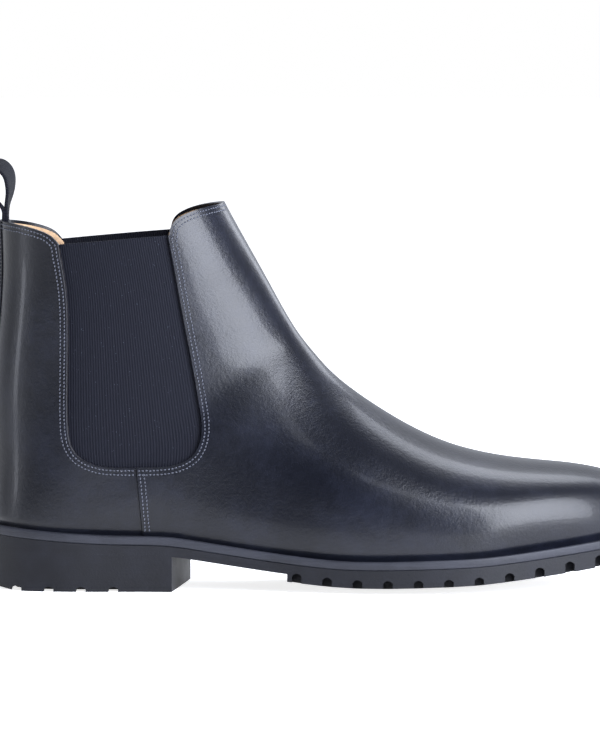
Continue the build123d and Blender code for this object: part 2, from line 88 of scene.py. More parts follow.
# --- The last ----------------------------------------------------------------------------
# Drawn in millimetres from the back of the heel; graded to the frame's size and put in its place.
BASE_LENGTH, BASE_WIDTH, BASE_HEIGHT = 302.26, 104.78, 190.3
BASE_START = -0.09                         # x of the sole's heel end
STATIONS = np.array([
    # front x, front z, back x, back z, ridge y, outer, inner, widest, front and back roundness
    (293.0, 10.0, 236.0, -6.0, 5.0, 26.0, 26.0, 0.30, 2.2, 2.2),
    (297.5, 25.0, 235.0, -6.0, 5.0, 28.0, 28.0, 0.30, 2.2, 2.2),
    (296.5, 38.0, 233.0, -6.0, 5.0, 32.0, 31.0, 0.32, 2.2, 2.3),
    (284.0, 48.5, 229.0, -6.0, 4.0, 37.0, 36.0, 0.38, 2.2, 2.5),
    (262.0, 54.3, 221.0, -6.0, 2.5, 42.5, 42.0, 0.42, 2.2, 2.8),
    (235.0, 57.2, 208.0, -6.0, 1.0, 47.5, 46.0, 0.42, 2.2, 3.0),
    (205.0, 64.0, 188.0, -6.0, 1.0, 49.5, 46.0, 0.42, 2.1, 3.0),
    (178.0, 77.5, 160.0, -5.0, 2.0, 48.5, 40.0, 0.40, 2.0, 3.0),
    (158.0, 91.5, 122.0, -2.0, 2.0, 41.5, 32.0, 0.40, 2.0, 3.0),
    (147.5, 102.0, 80.0, 3.0, 1.0, 35.5, 30.0, 0.40, 2.1, 3.0),
    (141.0, 110.0, 38.0, 4.0, 0.0, 33.0, 31.0, 0.38, 2.2, 2.8),
    (136.5, 116.5, 6.0, 6.0, 0.0, 32.5, 31.5, 0.36, 2.3, 2.5),
    (131.5, 125.0, 2.2, 42.0, 0.0, 32.0, 31.0, 0.40, 2.3, 2.3),
    (125.5, 136.0, 2.4, 75.0, 0.0, 31.5, 30.5, 0.46, 2.3, 2.2),
    (118.0, 149.5, 4.6, 105.0, 0.0, 31.5, 30.5, 0.52, 2.3, 2.3),
    (110.5, 163.0, 7.0, 135.0, 0.0, 31.5, 30.5, 0.54, 2.3, 2.3),
    (105.0, 173.5, 6.9, 158.0, 0.0, 31.5, 30.5, 0.54, 2.3, 2.3),
    (100.0, 184.0, 6.6, 180.0, 0.0, 31.5, 30.5, 0.54, 2.3, 2.3),
])
WELT_RISE = np.array([
    (-8.0, 18.2), (7.0, 16.6), (29.0, 14.6), (62.0, 12.9), (82.0, 12.3), (97.0, 10.2), (114.0, 7.2), (133.0, 3.7),
    (151.0, 1.1), (172.0, 0.0), (200.0, 0.5), (217.0, 1.4), (240.0, 4.3), (263.0, 8.0), (285.0, 12.0), (312.0, 17.5),
])
WELT_LOWEST, CROWN_RISE = 11.8, 3.3
GORE_WINDOW = np.array([
    (32.5, 176.0), (33.0, 153.4), (36.0, 135.0), (37.0, 114.0), (36.8, 90.0), (37.0, 73.0), (39.5, 62.5),
    (47.0, 56.8), (58.0, 54.9), (70.0, 54.9), (84.0, 56.0), (92.5, 60.5), (96.2, 69.5), (95.3, 82.0),
    (92.2, 100.0), (88.0, 122.0), (83.5, 147.0), (80.6, 162.0), (78.0, 176.0),
])
REAR_TOPLINE = np.array([(6.9, 162.8), (16.0, 161.4), (24.4, 159.3), (30.0, 156.6), (33.0, 153.4)])
FOLDED_EDGE = 1.7                          # how far the leather stands above its lining
FRONT_TOPLINE = np.array([(82.3, 157.0), (82.9, 160.8), (84.8, 163.8), (88.5, 166.3), (96.1, 169.0), (106.2, 171.0)])
SEAM_TOP, SEAM_FOOT = (67.5, 54.9), 70.4   # side seam: its point on the window, its x at the welt
FRONT_DROP, REAR_DROP = 88.0, 37.0         # x at the welt below the window's two lower corners
BACK_SIDE = math.pi

sole_low, sole_high = (np.array(c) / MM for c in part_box("welt"))
LENGTH_GRADE = (sole_high[0] - sole_low[0]) / BASE_LENGTH
WIDTH_GRADE = (sole_high[1] - sole_low[1]) / BASE_WIDTH
HEIGHT_GRADE = CAD_BOX[1][2] / MM / BASE_HEIGHT
RIDGE_SHIFT = 0.352                        # the last's middle plane, towards the inner side
HINGE = np.array(frame["joints"][0]["pos_m"])


def smooth(value, low, high):
    """Smooth step from 0 at low to 1 at high."""
    share = np.clip((value - low) / (high - low), 0.0, 1.0)
    return share * share * (3.0 - 2.0 * share)


def spline(knots, values, at):
    """Natural cubic spline through (knots, values), read at every place in at."""
    count, step = len(knots), np.diff(knots)
    system, right = np.eye(count), np.zeros(values.shape)
    inner = np.arange(1, count - 1)
    system[inner, inner - 1], system[inner, inner + 1] = step[:-1], step[1:]
    system[inner, inner] = 2 * (step[:-1] + step[1:])
    slopes = np.diff(values, axis=0) / step[:, None]
    right[1:-1] = 6 * np.diff(slopes, axis=0)
    bend = np.linalg.solve(system, right)
    k = np.clip(np.searchsorted(knots, at) - 1, 0, count - 2)
    width = step[k][:, None]
    before, after = (knots[k + 1] - at)[:, None], (at - knots[k])[:, None]
    return ((bend[k] * before**3 + bend[k + 1] * after**3) / (6 * width)
            + (values[k] / width - bend[k] * width / 6) * before
            + (values[k + 1] / width - bend[k + 1] * width / 6) * after)


STATION_NUMBERS = np.arange(float(len(STATIONS)))


def station_rows(station):
    """The ten station values at each fractional station number, one array each."""
    rows = spline(STATION_NUMBERS, STATIONS, np.ravel(station))
    return [rows[:, i].reshape(np.shape(station)) for i in range(10)]


def roundness(angle, front_n, back_n):
    """Radius of a unit superellipse at an angle: (|cos|^n + |sin|^n)^(-1/n), where n runs from
    the front's value to the back's with the cosine."""
    cosine, sine = np.cos(angle), np.sin(angle)
    power = (front_n + back_n) / 2 + (front_n - back_n) / 2 * cosine
    return (np.abs(cosine) ** power + np.abs(sine) ** power) ** (-1 / power)


def last_base(station, angle):
    """Point of the last in base millimetres. A station is a flat section from a back point to a
    ridge point; round it the angle gives a share along that line and a half width across it.
    Angle 0 is the ridge, positive angles are the outer side, and pi is the back or bottom."""
    front_x, front_z, back_x, back_z, ridge, outer, inner, widest, front_n, back_n = station_rows(station)
    radius = roundness(angle, front_n, back_n)
    reach = radius * np.cos(angle)
    share = widest + np.where(reach > 0, (1 - widest) * reach, widest * reach)
    half = np.where(np.sin(angle) > 0, outer, inner)
    return np.stack([back_x + share * (front_x - back_x), ridge - half * radius * np.sin(angle),
                     back_z + share * (front_z - back_z)], -1)


def place(base):
    """Base millimetres to metres in the frame."""
    graded = base * np.array([LENGTH_GRADE, WIDTH_GRADE, HEIGHT_GRADE])
    return (graded + np.array([sole_low[0] - BASE_START * LENGTH_GRADE, RIDGE_SHIFT, 0.0])) * MM


def last_surface(station, angle, outward=0.0):
    """Points of the last moved outward by a distance in metres along its normal, which is the
    cross product of the two parameter directions."""
    small = 1e-3
    across = place(last_base(station + small, angle)) - place(last_base(station - small, angle))
    along = place(last_base(station, angle + small)) - place(last_base(station, angle - small))
    normal = np.cross(across, along)
    normal /= np.linalg.norm(normal, axis=-1, keepdims=True) + 1e-12
    return place(last_base(station, angle)) + normal * np.asarray(outward)[..., None], normal


def crown(x):
    """Sideways curvature of the sole, which is flat under the heel."""
    return CROWN_RISE / 53.0**2 * smooth(x, 90.0, 150.0)


def welt_height(x, y):
    """Height of the welt's top face in base millimetres."""
    rise = spline(WELT_RISE[:, 0], WELT_RISE[:, 1:], np.ravel(x))[:, 0].reshape(np.shape(x))
    return WELT_LOWEST + rise + crown(x) * y * y


def bisect(function, low, high, steps=44):
    """Where a falling function crosses 0, for whole arrays at once."""
    for _ in range(steps):
        middle = (low + high) / 2
        above = function(middle) > 0
        low, high = np.where(above, middle, low), np.where(above, high, middle)
    return (low + high) / 2


def locate(points):
    """(station, angle) of side-view points (x, z): the station whose section line passes through
    the point, and the angle whose share along that line reaches it."""
    x, z = points[..., 0], points[..., 1]

    def beside(station):
        front_x, front_z, back_x, back_z = station_rows(station)[:4]
        return (front_x - back_x) * (z - back_z) - (front_z - back_z) * (x - back_x)

    station = bisect(beside, np.zeros_like(x), np.full_like(x, len(STATIONS) - 1.0))
    front_x, front_z, back_x, back_z, _, _, _, widest, front_n, back_n = station_rows(station)
    run, rise = front_x - back_x, front_z - back_z
    share = ((x - back_x) * run + (z - back_z) * rise) / (run * run + rise * rise)
    reach = np.clip(np.where(share > widest, (share - widest) / (1 - widest), (share - widest) / widest), -1, 1)
    angle = bisect(lambda a: roundness(a, front_n, back_n) * np.cos(a) - reach,
                   np.zeros_like(x), np.full_like(x, math.pi))
    return np.stack([station, angle], -1)


def feather_angle(station, side, tuck=0.8):
    """Angle at which a section goes below the welt's top face, by a tuck in millimetres."""
    def above(angle):
        point = last_base(station, side * angle)
        return point[..., 2] - welt_height(point[..., 0], point[..., 1]) + tuck
    return bisect(above, np.zeros_like(station), np.full_like(station, math.pi))


def walked_along(points):
    """Length walked from a path's start to each of its points."""
    return np.concatenate([[0.0], np.cumsum(np.linalg.norm(np.diff(points, axis=0), axis=1))])


def evenly(points, count):
    """A path's points respaced to equal steps."""
    walked = walked_along(points)
    places = np.linspace(0, walked[-1], count)
    return np.stack([np.interp(places, walked, points[:, i]) for i in range(points.shape[1])], -1)


def curve(points, count=400):
    """Smooth side-view curve through a few points, at equal steps."""
    chord = walked_along(points)
    return evenly(spline(chord, points, np.linspace(0, chord[-1], 2000)), count)


def line(start, end, count):
    """Even steps along a straight line."""
    return np.linspace(start, end, count)


WINDOW = curve(GORE_WINDOW, 1600)


def window_index(point):
    """Number of the gore window's point nearest to a side-view point."""
    return int(np.argmin(np.linalg.norm(WINDOW - np.array(point), axis=1)))


REAR_CORNER, FRONT_CORNER = window_index((40.4, 61.3)), window_index((93.2, 61.3))
WINDOW_SEAM = window_index(SEAM_TOP)
REAR_TOP, FRONT_TOP = window_index(REAR_TOPLINE[-1]), window_index(FRONT_TOPLINE[0])


class Feather:
    """The line where one side of the upper meets the welt, from the toe tip to the heel."""

    def __init__(self, side):
        self.side = side
        stations = np.linspace(0.0, len(STATIONS) - 1.0, 3000)
        angles = feather_angle(stations, side)
        cut = (angles > 1e-4) & (angles < math.pi - 1e-4)
        self.toe, self.heel = stations[cut][0], stations[cut][-1]
        self.stations = np.linspace(self.toe, self.heel, 1500)
        self.angles = feather_angle(self.stations, side)
        self.angles[0], self.angles[-1] = 0.0, math.pi
        self.points = last_base(self.stations, side * self.angles)

    def station_at(self, x):
        return float(np.interp(-x, -self.points[:, 0], self.stations))

    def run(self, start, end, count):
        """Even (station, angle) points from one station to another."""
        fine = np.linspace(start, end, 800)
        angles = feather_angle(fine, self.side)
        angles[fine <= self.toe], angles[fine >= self.heel] = 0.0, math.pi
        base = last_base(fine, self.side * angles)
        walked = walked_along(base)
        places = np.linspace(0, walked[-1], count)
        return np.stack([np.interp(places, walked, fine), np.interp(places, walked, angles)], -1)


def patch(top, bottom, left, right, fade=1.0):
    """Surface patch on four boundary curves: a straight blend of top and bottom, corrected so
    that its ends follow left and right. The corrections fade away from their ends."""
    down = np.linspace(0, 1, len(left))[None, :, None]
    along = np.linspace(0, 1, len(top))[:, None, None]
    ruled = (1 - down) * top[:, None] + down * bottom[:, None]
    left_miss = left[None] - ((1 - down) * top[0] + down * bottom[0])
    right_miss = right[None] - ((1 - down) * top[-1] + down * bottom[-1])
    return ruled + (1 - along) ** fade * left_miss + along**fade * right_miss


def along_last(side_view, count, side):
    """Side-view points carried onto one side of the last: (station, angle) at equal steps of
    the real length."""
    spots = locate(np.asarray(side_view, float))
    base = last_base(spots[:, 0], side * spots[:, 1])
    walked = walked_along(base)
    places = np.linspace(0, walked[-1], count)
    return np.stack([np.interp(places, walked, spots[:, i]) for i in (0, 1)], -1)


def joined(*paths):
    """Paths end to end, without the doubled points where they meet."""
    return np.vstack([paths[0]] + [path[1:] for path in paths[1:]])


def middle_line(start, end, angle, count):
    """(station, angle) points along the ridge (angle 0) or the back line (angle pi)."""
    fine = np.linspace(start, end, 800)
    base = last_base(fine, np.full_like(fine, angle))
    walked = walked_along(base)
    places = np.linspace(0, walked[-1], count)
    return np.stack([np.interp(places, walked, fine), np.full(count, angle)], -1)


EDGE_POINTS, DROP_POINTS, FEATHER_POINTS, ACROSS_POINTS, UNDER_POINTS = 85, 31, 171, 49, 27
TOP_FADE = 6.0


class Blocks:
    """The patches of one side of the upper, as (station, angle) grids."""

    def __init__(self, side, lowered=0.0):
        self.side = side
        self.feather = Feather(side)
        self.rear_topline = curve(REAR_TOPLINE - np.array([0.0, lowered]))
        self.front_topline = curve(FRONT_TOPLINE - np.array([0.0, lowered]))
        front_top, rear_top = window_index(self.front_topline[0]), window_index(self.rear_topline[-1])
        self.front = along_last(WINDOW[FRONT_CORNER:front_top + 1][::-1], EDGE_POINTS, side)
        self.rear = along_last(WINDOW[rear_top:REAR_CORNER + 1], EDGE_POINTS, side)
        self.front_drop = self.drop(WINDOW[FRONT_CORNER], FRONT_DROP)
        self.rear_drop = self.drop(WINDOW[REAR_CORNER], REAR_DROP)
        self.seam = self.drop(WINDOW[WINDOW_SEAM], SEAM_FOOT)

    def drop(self, top, foot):
        """Side-view line from the window down to the welt, ending exactly on it."""
        station = self.feather.station_at(foot)
        end = last_base(np.array([station]), self.side * feather_angle(np.array([station]), self.side))[0]
        path = along_last(line(top, end[[0, 2]], 300), DROP_POINTS, self.side)
        path[-1] = station, feather_angle(np.array([station]), self.side)[0]
        return path

    def front_main(self):
        """From the ridge out to the gore, and below it to the welt."""
        path = joined(self.front, self.front_drop,
                      self.feather.run(self.front_drop[-1, 0], self.feather.toe, FEATHER_POINTS))
        path[-1] = self.feather.toe, 0.0
        topline = along_last(self.front_topline[::-1], ACROSS_POINTS, self.side)
        topline[0, 1], topline[-1] = 0.0, path[0]
        ridge = middle_line(topline[0, 0], self.feather.toe, 0.0, len(path))
        toe = np.repeat(path[-1:], ACROSS_POINTS, 0)
        return patch(ridge, path, topline, toe, TOP_FADE)

    def front_under(self):
        """Below the gore, from the side seam forward."""
        top = along_last(WINDOW[WINDOW_SEAM:FRONT_CORNER + 1], UNDER_POINTS, self.side)
        top[0], top[-1] = self.seam[0], self.front_drop[0]
        bottom = self.feather.run(self.seam[-1, 0], self.front_drop[-1, 0], UNDER_POINTS)
        return patch(top, bottom, self.seam, self.front_drop)

    def rear_main(self):
        """From the gore back to the back line."""
        path = joined(self.rear, self.rear_drop)
        topline = along_last(self.rear_topline[::-1], ACROSS_POINTS, self.side)
        topline[0], topline[-1, 1] = path[0], BACK_SIDE
        back = middle_line(topline[-1, 0], self.feather.heel, BACK_SIDE, len(path))
        foot = self.feather.run(path[-1, 0], self.feather.heel, ACROSS_POINTS)
        foot[0], foot[-1] = path[-1], back[-1]
        return patch(path, back, topline, foot, TOP_FADE)

    def rear_under(self):
        """Below the gore, from the side seam back."""
        top = along_last(WINDOW[REAR_CORNER:WINDOW_SEAM + 1], UNDER_POINTS, self.side)
        top[0], top[-1] = self.rear_drop[0], self.seam[0]
        bottom = self.feather.run(self.rear_drop[-1, 0], self.seam[-1, 0], UNDER_POINTS)
        return patch(top, bottom, self.rear_drop, self.seam)


OUTER, INNER = 1, -1
BLOCKS = {side: Blocks(side) for side in (OUTER, INNER)}
INNER_BLOCKS = {side: Blocks(side, FOLDED_EDGE) for side in (OUTER, INNER)}


# --- Meshes ------------------------------------------------------------------------------
def grid_quads(rows, columns):
    """Quads of a rows x columns grid of points, numbered row by row."""
    corner = (np.arange(rows - 1)[:, None] * columns + np.arange(columns - 1)).ravel()
    return np.stack([corner, corner + 1, corner + columns + 1, corner + columns], -1)


def make_mesh(name, points, quads, shades=None):
    """Mesh from points and quads, with doubled points merged and collapsed quads made into
    triangles or dropped. Shades are values per corner point, kept as UVs."""
    _, first, number = np.unique(np.round(points, 7), axis=0, return_index=True, return_inverse=True)
    quads = number.ravel()[quads]
    after = np.roll(quads, -1, 1)
    repeats = (quads == after).sum(1)
    whole = quads[repeats == 0]
    pinched = quads[repeats == 1]
    keep = pinched != np.roll(pinched, -1, 1)
    thirds = pinched[keep].reshape(-1, 3)
    corners = np.concatenate([whole.ravel(), thirds.ravel()]).astype(np.int32)
    sizes = np.concatenate([np.full(len(whole), 4), np.full(len(thirds), 3)]).astype(np.int32)
    mesh = bpy.data.meshes.new(name)
    mesh.vertices.add(len(first))
    mesh.vertices.foreach_set("co", points[first].astype(np.float32).ravel())
    mesh.loops.add(len(corners))
    mesh.loops.foreach_set("vertex_index", corners)
    mesh.polygons.add(len(sizes))
    mesh.polygons.foreach_set("loop_start", np.concatenate([[0], np.cumsum(sizes)[:-1]]).astype(np.int32))
    mesh.polygons.foreach_set("loop_total", sizes)
    mesh.update(calc_edges=True)
    if shades is not None:
        layer = mesh.uv_layers.new(name="UVMap")
        layer.data.foreach_set("uv", shades[first][corners].astype(np.float32).ravel())
    mesh.shade_smooth()
    mesh.validate()
    return mesh


def make_piece(name, mesh, material, body):
    """Object for a mesh, riding on a body unless it will be blended between two."""
    piece = bpy.data.objects.new(name, mesh)
    bpy.context.scene.collection.objects.link(piece)
    mesh.materials.append(material)
    if body:
        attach(piece, body)
    return piece


def facing_out(points, quads, normals):
    """Quads turned so that they face the way the normals at their corners point."""
    facing = np.cross(points[quads[:, 2]] - points[quads[:, 0]], points[quads[:, 3]] - points[quads[:, 1]])
    return quads[:, ::-1] if np.sum(facing * normals[quads[:, 0]]) < 0 else quads


def skin(grids, side_of, outward, lift=None):
    """Points and quads of several (station, angle) patches at a distance outside the last,
    with faces turned the way the last's own normals point. Lift adds a distance per point."""
    points, quads, count = [], [], 0
    for grid, side in zip(grids, side_of):
        signed = side * grid[..., 1]
        away = np.full(signed.shape, outward)
        if lift is not None:
            away = away + lift(last_base(grid[..., 0], signed), side)
        spots, normals = last_surface(grid[..., 0], signed, away)
        flat = spots.reshape(-1, 3)
        points.append(flat)
        quads.append(facing_out(flat, grid_quads(*signed.shape), normals.reshape(-1, 3)) + count)
        count += len(flat)
    return np.vstack(points), np.vstack(quads)


def thicken(piece, thickness, bevel=0.0):
    """Give a sheet its wall, inwards from the drawn face, and round its cut edges."""
    wall = piece.modifiers.new("Wall", "SOLIDIFY")
    wall.thickness = thickness
    wall.offset = -1.0
    wall.use_even_offset = False
    wall.use_quality_normals = True
    if bevel:
        edge = piece.modifiers.new("Edge", "BEVEL")
        edge.width = bevel
        edge.segments = 2
        edge.limit_method = "ANGLE"
        edge.angle_limit = math.radians(55)
        edge.harden_normals = True


def tube_quads(rings, points_round, closed_path=False):
    """Quads of a profile of points_round points carried through rings places."""
    ring = np.arange(rings if closed_path else rings - 1)[:, None]
    spot = np.arange(points_round)[None]
    next_ring, next_spot = (ring + 1) % rings, (spot + 1) % points_round
    quads = np.stack([ring * points_round + spot, ring * points_round + next_spot,
                      next_ring * points_round + next_spot, next_ring * points_round + spot], -1)
    return quads.reshape(-1, 4)


# --- Finishes ----------------------------------------------------------------------------
class Socket:
    """A value in a material. Arithmetic on it adds Math nodes."""

    def __init__(self, finish, output):
        self.finish, self.output = finish, output

    def math(self, operation, *values):
        return self.finish.node("ShaderNodeMath", {"operation": operation}, dict(enumerate(values)))

    def __add__(self, other):
        return self.math("ADD", self, other)

    def __sub__(self, other):
        return self.math("SUBTRACT", self, other)

    def __rsub__(self, other):
        return self.math("SUBTRACT", other, self)

    def __mul__(self, other):
        return self.math("MULTIPLY", self, other)

    __radd__, __rmul__ = __add__, __mul__

    def sine(self):
        return self.math("SINE", self)

    def between(self, low, high):
        """This value mapped from low..high to 0..1 and held there."""
        return self.finish.node("ShaderNodeMapRange", {"interpolation_type": "SMOOTHSTEP"},
                                {"Value": self, "From Min": low, "From Max": high})


class Finish:
    """One material: a Principled surface and the nodes that feed it."""

    def __init__(self, name, **constants):
        self.material = bpy.data.materials.new(name)
        self.material.use_nodes = True
        self.tree = self.material.node_tree
        self.surface = self.tree.nodes["Principled BSDF"]
        for label, value in constants.items():
            self.surface.inputs[label.replace("_", " ")].default_value = value
        self.place = self.node("ShaderNodeTexCoord", {}, {}, "Object")

    def node(self, kind, settings, inputs, output=0):
        made = self.tree.nodes.new(kind)
        for label, value in settings.items():
            setattr(made, label, value)
        for label, value in inputs.items():
            self.feed(made.inputs[label], value)
        return Socket(self, made.outputs[output])

    def feed(self, target, value):
        if isinstance(value, Socket):
            self.tree.links.new(value.output, target)
        else:
            target.default_value = value

    def noise(self, scale, detail=4.0, roughness=0.55, at=None):
        return self.node("ShaderNodeTexNoise", {},
                         {"Vector": at or self.place, "Scale": scale, "Detail": detail,
                          "Roughness": roughness}, "Fac")

    def cells(self, scale, feature="F1", at=None):
        return self.node("ShaderNodeTexVoronoi", {"feature": feature},
                         {"Vector": at or self.place, "Scale": scale}, "Distance")

    def mix(self, share, first, second):
        """Colour that runs from the first to the second with a share."""
        return self.node("ShaderNodeMix", {"data_type": "RGBA"},
                         {0: share, 6: first, 7: second}, 2)

    def axis(self, name, source=None):
        return self.node("ShaderNodeSeparateXYZ", {}, {0: source or self.place}, name)

    def bump(self, height, depth, under=None):
        """Height in units of depth metres, added on top of another bump."""
        inputs = {"Height": height, "Distance": depth, "Strength": 1.0}
        if under is not None:
            inputs["Normal"] = under
        return self.node("ShaderNodeBump", {}, inputs)

    def set(self, **values):
        for label, value in values.items():
            self.feed(self.surface.inputs[label.replace("_", " ")], value)
        return self.material


def shade(colour, factor):
    return tuple(min(c * factor, 1.0) for c in colour[:3]) + (1.0,)


def polished_leather(colours):
    """Polished calf: deep blue-black, with a fine grain, pores and burnished clouding."""
    f = Finish("polished_leather", Coat_Roughness=0.10, Coat_IOR=1.4, Specular_IOR_Level=0.22)
    cloud = f.noise(26.0, 3.0)
    fine = f.noise(240.0, 5.0, 0.6)
    pores = f.cells(1500.0)
    grain = f.cells(720.0, "SMOOTH_F1")
    wander = f.noise(9.0, 2.0)
    base = tuple(colours.leather) + (1.0,)
    worn = f.mix((cloud * 0.7 + fine * 0.3).between(0.42, 0.74), shade(base, 0.72), shade(base, 1.7))
    relief = f.bump(wander, 0.0016)
    relief = f.bump(grain * 0.6 + fine * 0.7, 0.00009, relief)
    relief = f.bump(pores, 0.00003, relief)
    return f.set(Base_Color=worn, Roughness=0.25 + cloud * 0.10 + fine * 0.07,
                 Coat_Weight=0.06 + cloud * 0.16, Normal=relief)


def lining_leather(colours):
    """Natural calf lining: tan with pores and soft stains."""
    f = Finish("lining_leather", Specular_IOR_Level=0.35)
    cloud, fine = f.noise(34.0, 4.0), f.noise(420.0, 4.0)
    pores = f.cells(900.0)
    base = tuple(colours.lining) + (1.0,)
    tone = f.mix((cloud * 0.6 + fine * 0.4).between(0.3, 0.7), shade(base, 0.68), shade(base, 1.25))
    tone = f.mix((1.0 - pores.between(0.0, 0.28)) * 0.35, tone, shade(base, 0.4))
    relief = f.bump(fine + pores * 0.6, 0.00012)
    return f.set(Base_Color=tone, Roughness=0.62 + fine * 0.2, Normal=relief)


def elastic_weave(colours):
    """Gore elastic: vertical rubber ribs under a matte yarn, with sparse light specks."""
    f = Finish("elastic_weave", Specular_IOR_Level=0.10, Sheen_Weight=0.02, Sheen_Roughness=0.5)
    spot = f.node("ShaderNodeUVMap", {}, {}, "UV")
    across, up = f.axis("X", spot), f.axis("Y", spot)
    rib = (across * (2 * math.pi / 0.00105)).sine() * 0.5 + 0.5
    yarn = (up * (2 * math.pi / 0.00062) + across * (math.pi / 0.00105)).sine() * 0.5 + 0.5
    light_specks = 1.0 - f.cells(950.0).between(0.05, 0.2)
    sparse = f.noise(620.0, 1.0).between(0.56, 0.70)
    base = tuple(colours.elastic) + (1.0,)
    streak = f.noise(1.0, 4.0, 0.6, f.node("ShaderNodeMapping", {}, {"Vector": spot, "Scale": (1400.0, 130.0, 1.0)}))
    tone = f.mix(rib * 0.35 + yarn * 0.2 + streak * 0.5, shade(base, 0.6), shade(base, 1.5))
    # Sparse light specks are mixed into the colour here.
    tone = f.mix(light_specks * sparse * 0.55, tone, (0.11, 0.13, 0.17, 1.0))
    relief = f.bump(rib * 0.7 + streak * 0.6, 0.00014)
    relief = f.bump(yarn * rib, 0.00006, relief)
    return f.set(Base_Color=tone, Roughness=0.74 - rib * 0.08, Normal=relief)


def twill_webbing(colours):
    """Pull-loop webbing: black cotton twill with a diagonal rib."""
    f = Finish("twill_webbing", Specular_IOR_Level=0.10, Sheen_Weight=0.04, Sheen_Roughness=0.5)
    spot = f.node("ShaderNodeUVMap", {}, {}, "UV")
    across, up = f.axis("X", spot), f.axis("Y", spot)
    diagonal = ((across + up) * (2 * math.pi / 0.0013)).sine() * 0.5 + 0.5
    thread = ((across - up * 0.6) * (2 * math.pi / 0.00045)).sine() * 0.5 + 0.5
    fuzz = f.noise(1300.0, 3.0)
    base = tuple(colours.elastic) + (1.0,)
    tone = f.mix(diagonal * 0.6 + thread * 0.2 + fuzz * 0.3, shade(base, 0.4), shade(base, 1.5))
    relief = f.bump(diagonal + thread * 0.4 + fuzz * 0.4, 0.00025)
    return f.set(Base_Color=tone, Roughness=0.8 + fuzz * 0.1, Normal=relief)


def waxed_thread(colours):
    """Stitching thread: waxed, twisted, tone on tone."""
    f = Finish("waxed_thread", Specular_IOR_Level=0.5)
    twist = ((f.axis("X") + f.axis("Z")) * 9000.0).sine() * 0.5 + 0.5
    base = tuple(colours.thread) + (1.0,)
    return f.set(Base_Color=f.mix(twist, shade(base, 0.5), shade(base, 1.5)),
                 Roughness=0.42 + twist * 0.15, Normal=f.bump(twist, 0.00006))


def moulded_rubber(name, tone, gloss, streaks):
    """Sole rubber: matte black with mould haze and dust in its pores."""
    f = Finish(name, Specular_IOR_Level=0.22)
    dust, fine = f.noise(90.0, 5.0), f.noise(900.0, 4.0)
    stretched = f.node("ShaderNodeMapping", {}, {"Vector": f.place, "Scale": (14.0, 14.0, 900.0)})
    lines = f.noise(1.0, 3.0, 0.6, stretched)
    base = tuple(tone) + (1.0,)
    colour = f.mix((dust * 0.6 + fine * 0.2 + lines * streaks).between(0.35, 0.8), shade(base, 0.7), shade(base, 1.5))
    relief = f.bump(fine + lines * streaks, 0.00010)
    return f.set(Base_Color=colour, Roughness=gloss + dust * 0.14 + fine * 0.08, Normal=relief)


def cork_crumb():
    f = Finish("cork_crumb", Specular_IOR_Level=0.2)
    crumb, fine = f.cells(420.0), f.noise(700.0, 3.0)
    tone = f.mix((crumb + fine * 0.5).between(0.2, 0.9), (0.10, 0.045, 0.016, 1.0), (0.42, 0.22, 0.09, 1.0))
    return f.set(Base_Color=tone, Roughness=0.85 + fine * 0.1, Normal=f.bump(crumb, 0.0002))


def fibre_board():
    f = Finish("fibre_board", Specular_IOR_Level=0.25)
    fleck, fine = f.noise(160.0, 5.0), f.noise(1200.0, 2.0)
    tone = f.mix(fleck.between(0.3, 0.7), (0.22, 0.13, 0.07, 1.0), (0.42, 0.28, 0.16, 1.0))
    return f.set(Base_Color=tone, Roughness=0.8 + fine * 0.1, Normal=f.bump(fine + fleck, 0.0001))


def woven_interlining():
    f = Finish("woven_interlining", Specular_IOR_Level=0.2)
    warp = (f.axis("X") * 7000.0).sine() * 0.5 + 0.5
    weft = (f.axis("Z") * 7000.0).sine() * 0.5 + 0.5
    tone = f.mix(warp * weft, (0.018, 0.016, 0.016, 1.0), (0.07, 0.065, 0.06, 1.0))
    return f.set(Base_Color=tone, Roughness=0.85 + warp * 0.08, Normal=f.bump(warp * weft, 0.0001))


def stiff_felt():
    f = Finish("stiff_felt", Specular_IOR_Level=0.2)
    fleck = f.noise(500.0, 5.0)
    tone = f.mix(fleck.between(0.3, 0.7), (0.20, 0.18, 0.15, 1.0), (0.45, 0.42, 0.36, 1.0))
    return f.set(Base_Color=tone, Roughness=0.8 + fleck * 0.15, Normal=f.bump(fleck, 0.0001))


def bright_steel():
    f = Finish("bright_steel", Metallic=1.0)
    brushed = f.noise(700.0, 3.0)
    tone = f.mix(brushed.between(0.3, 0.7), (0.42, 0.43, 0.45, 1.0), (0.62, 0.63, 0.65, 1.0))
    return f.set(Base_Color=tone, Roughness=0.28 + brushed * 0.2, Normal=f.bump(brushed, 0.00002))


FINISHES = {}


def finish(name):
    """A finish by its name, made once and shared."""
    if name not in FINISHES:
        colours = bpy.context.scene.boot_colours
        makers = {
            "leather": lambda: polished_leather(colours),
            "lining": lambda: lining_leather(colours),
            "elastic": lambda: elastic_weave(colours),
            "webbing": lambda: twill_webbing(colours),
            "thread": lambda: waxed_thread(colours),
            "welt": lambda: moulded_rubber("welt_rubber", colours.welt, 0.42, 0.5),
            "sole": lambda: moulded_rubber("sole_rubber", colours.sole, 0.5, 0.15),
            "cork": cork_crumb,
            "board": fibre_board,
            "interlining": woven_interlining,
            "felt": stiff_felt,
            "steel": bright_steel,
        }
        FINISHES[name] = makers[name]()
    return FINISHES[name]


# --- Settings ----------------------------------------------------------------------------
def length(name, description, default):
    return FloatProperty(name=name, description=description, default=default, min=0.0, unit="LENGTH")


def colour(name, description, default):
    return FloatVectorProperty(name=name, description=description, default=default, min=0.0, max=1.0,
                               subtype="COLOR")


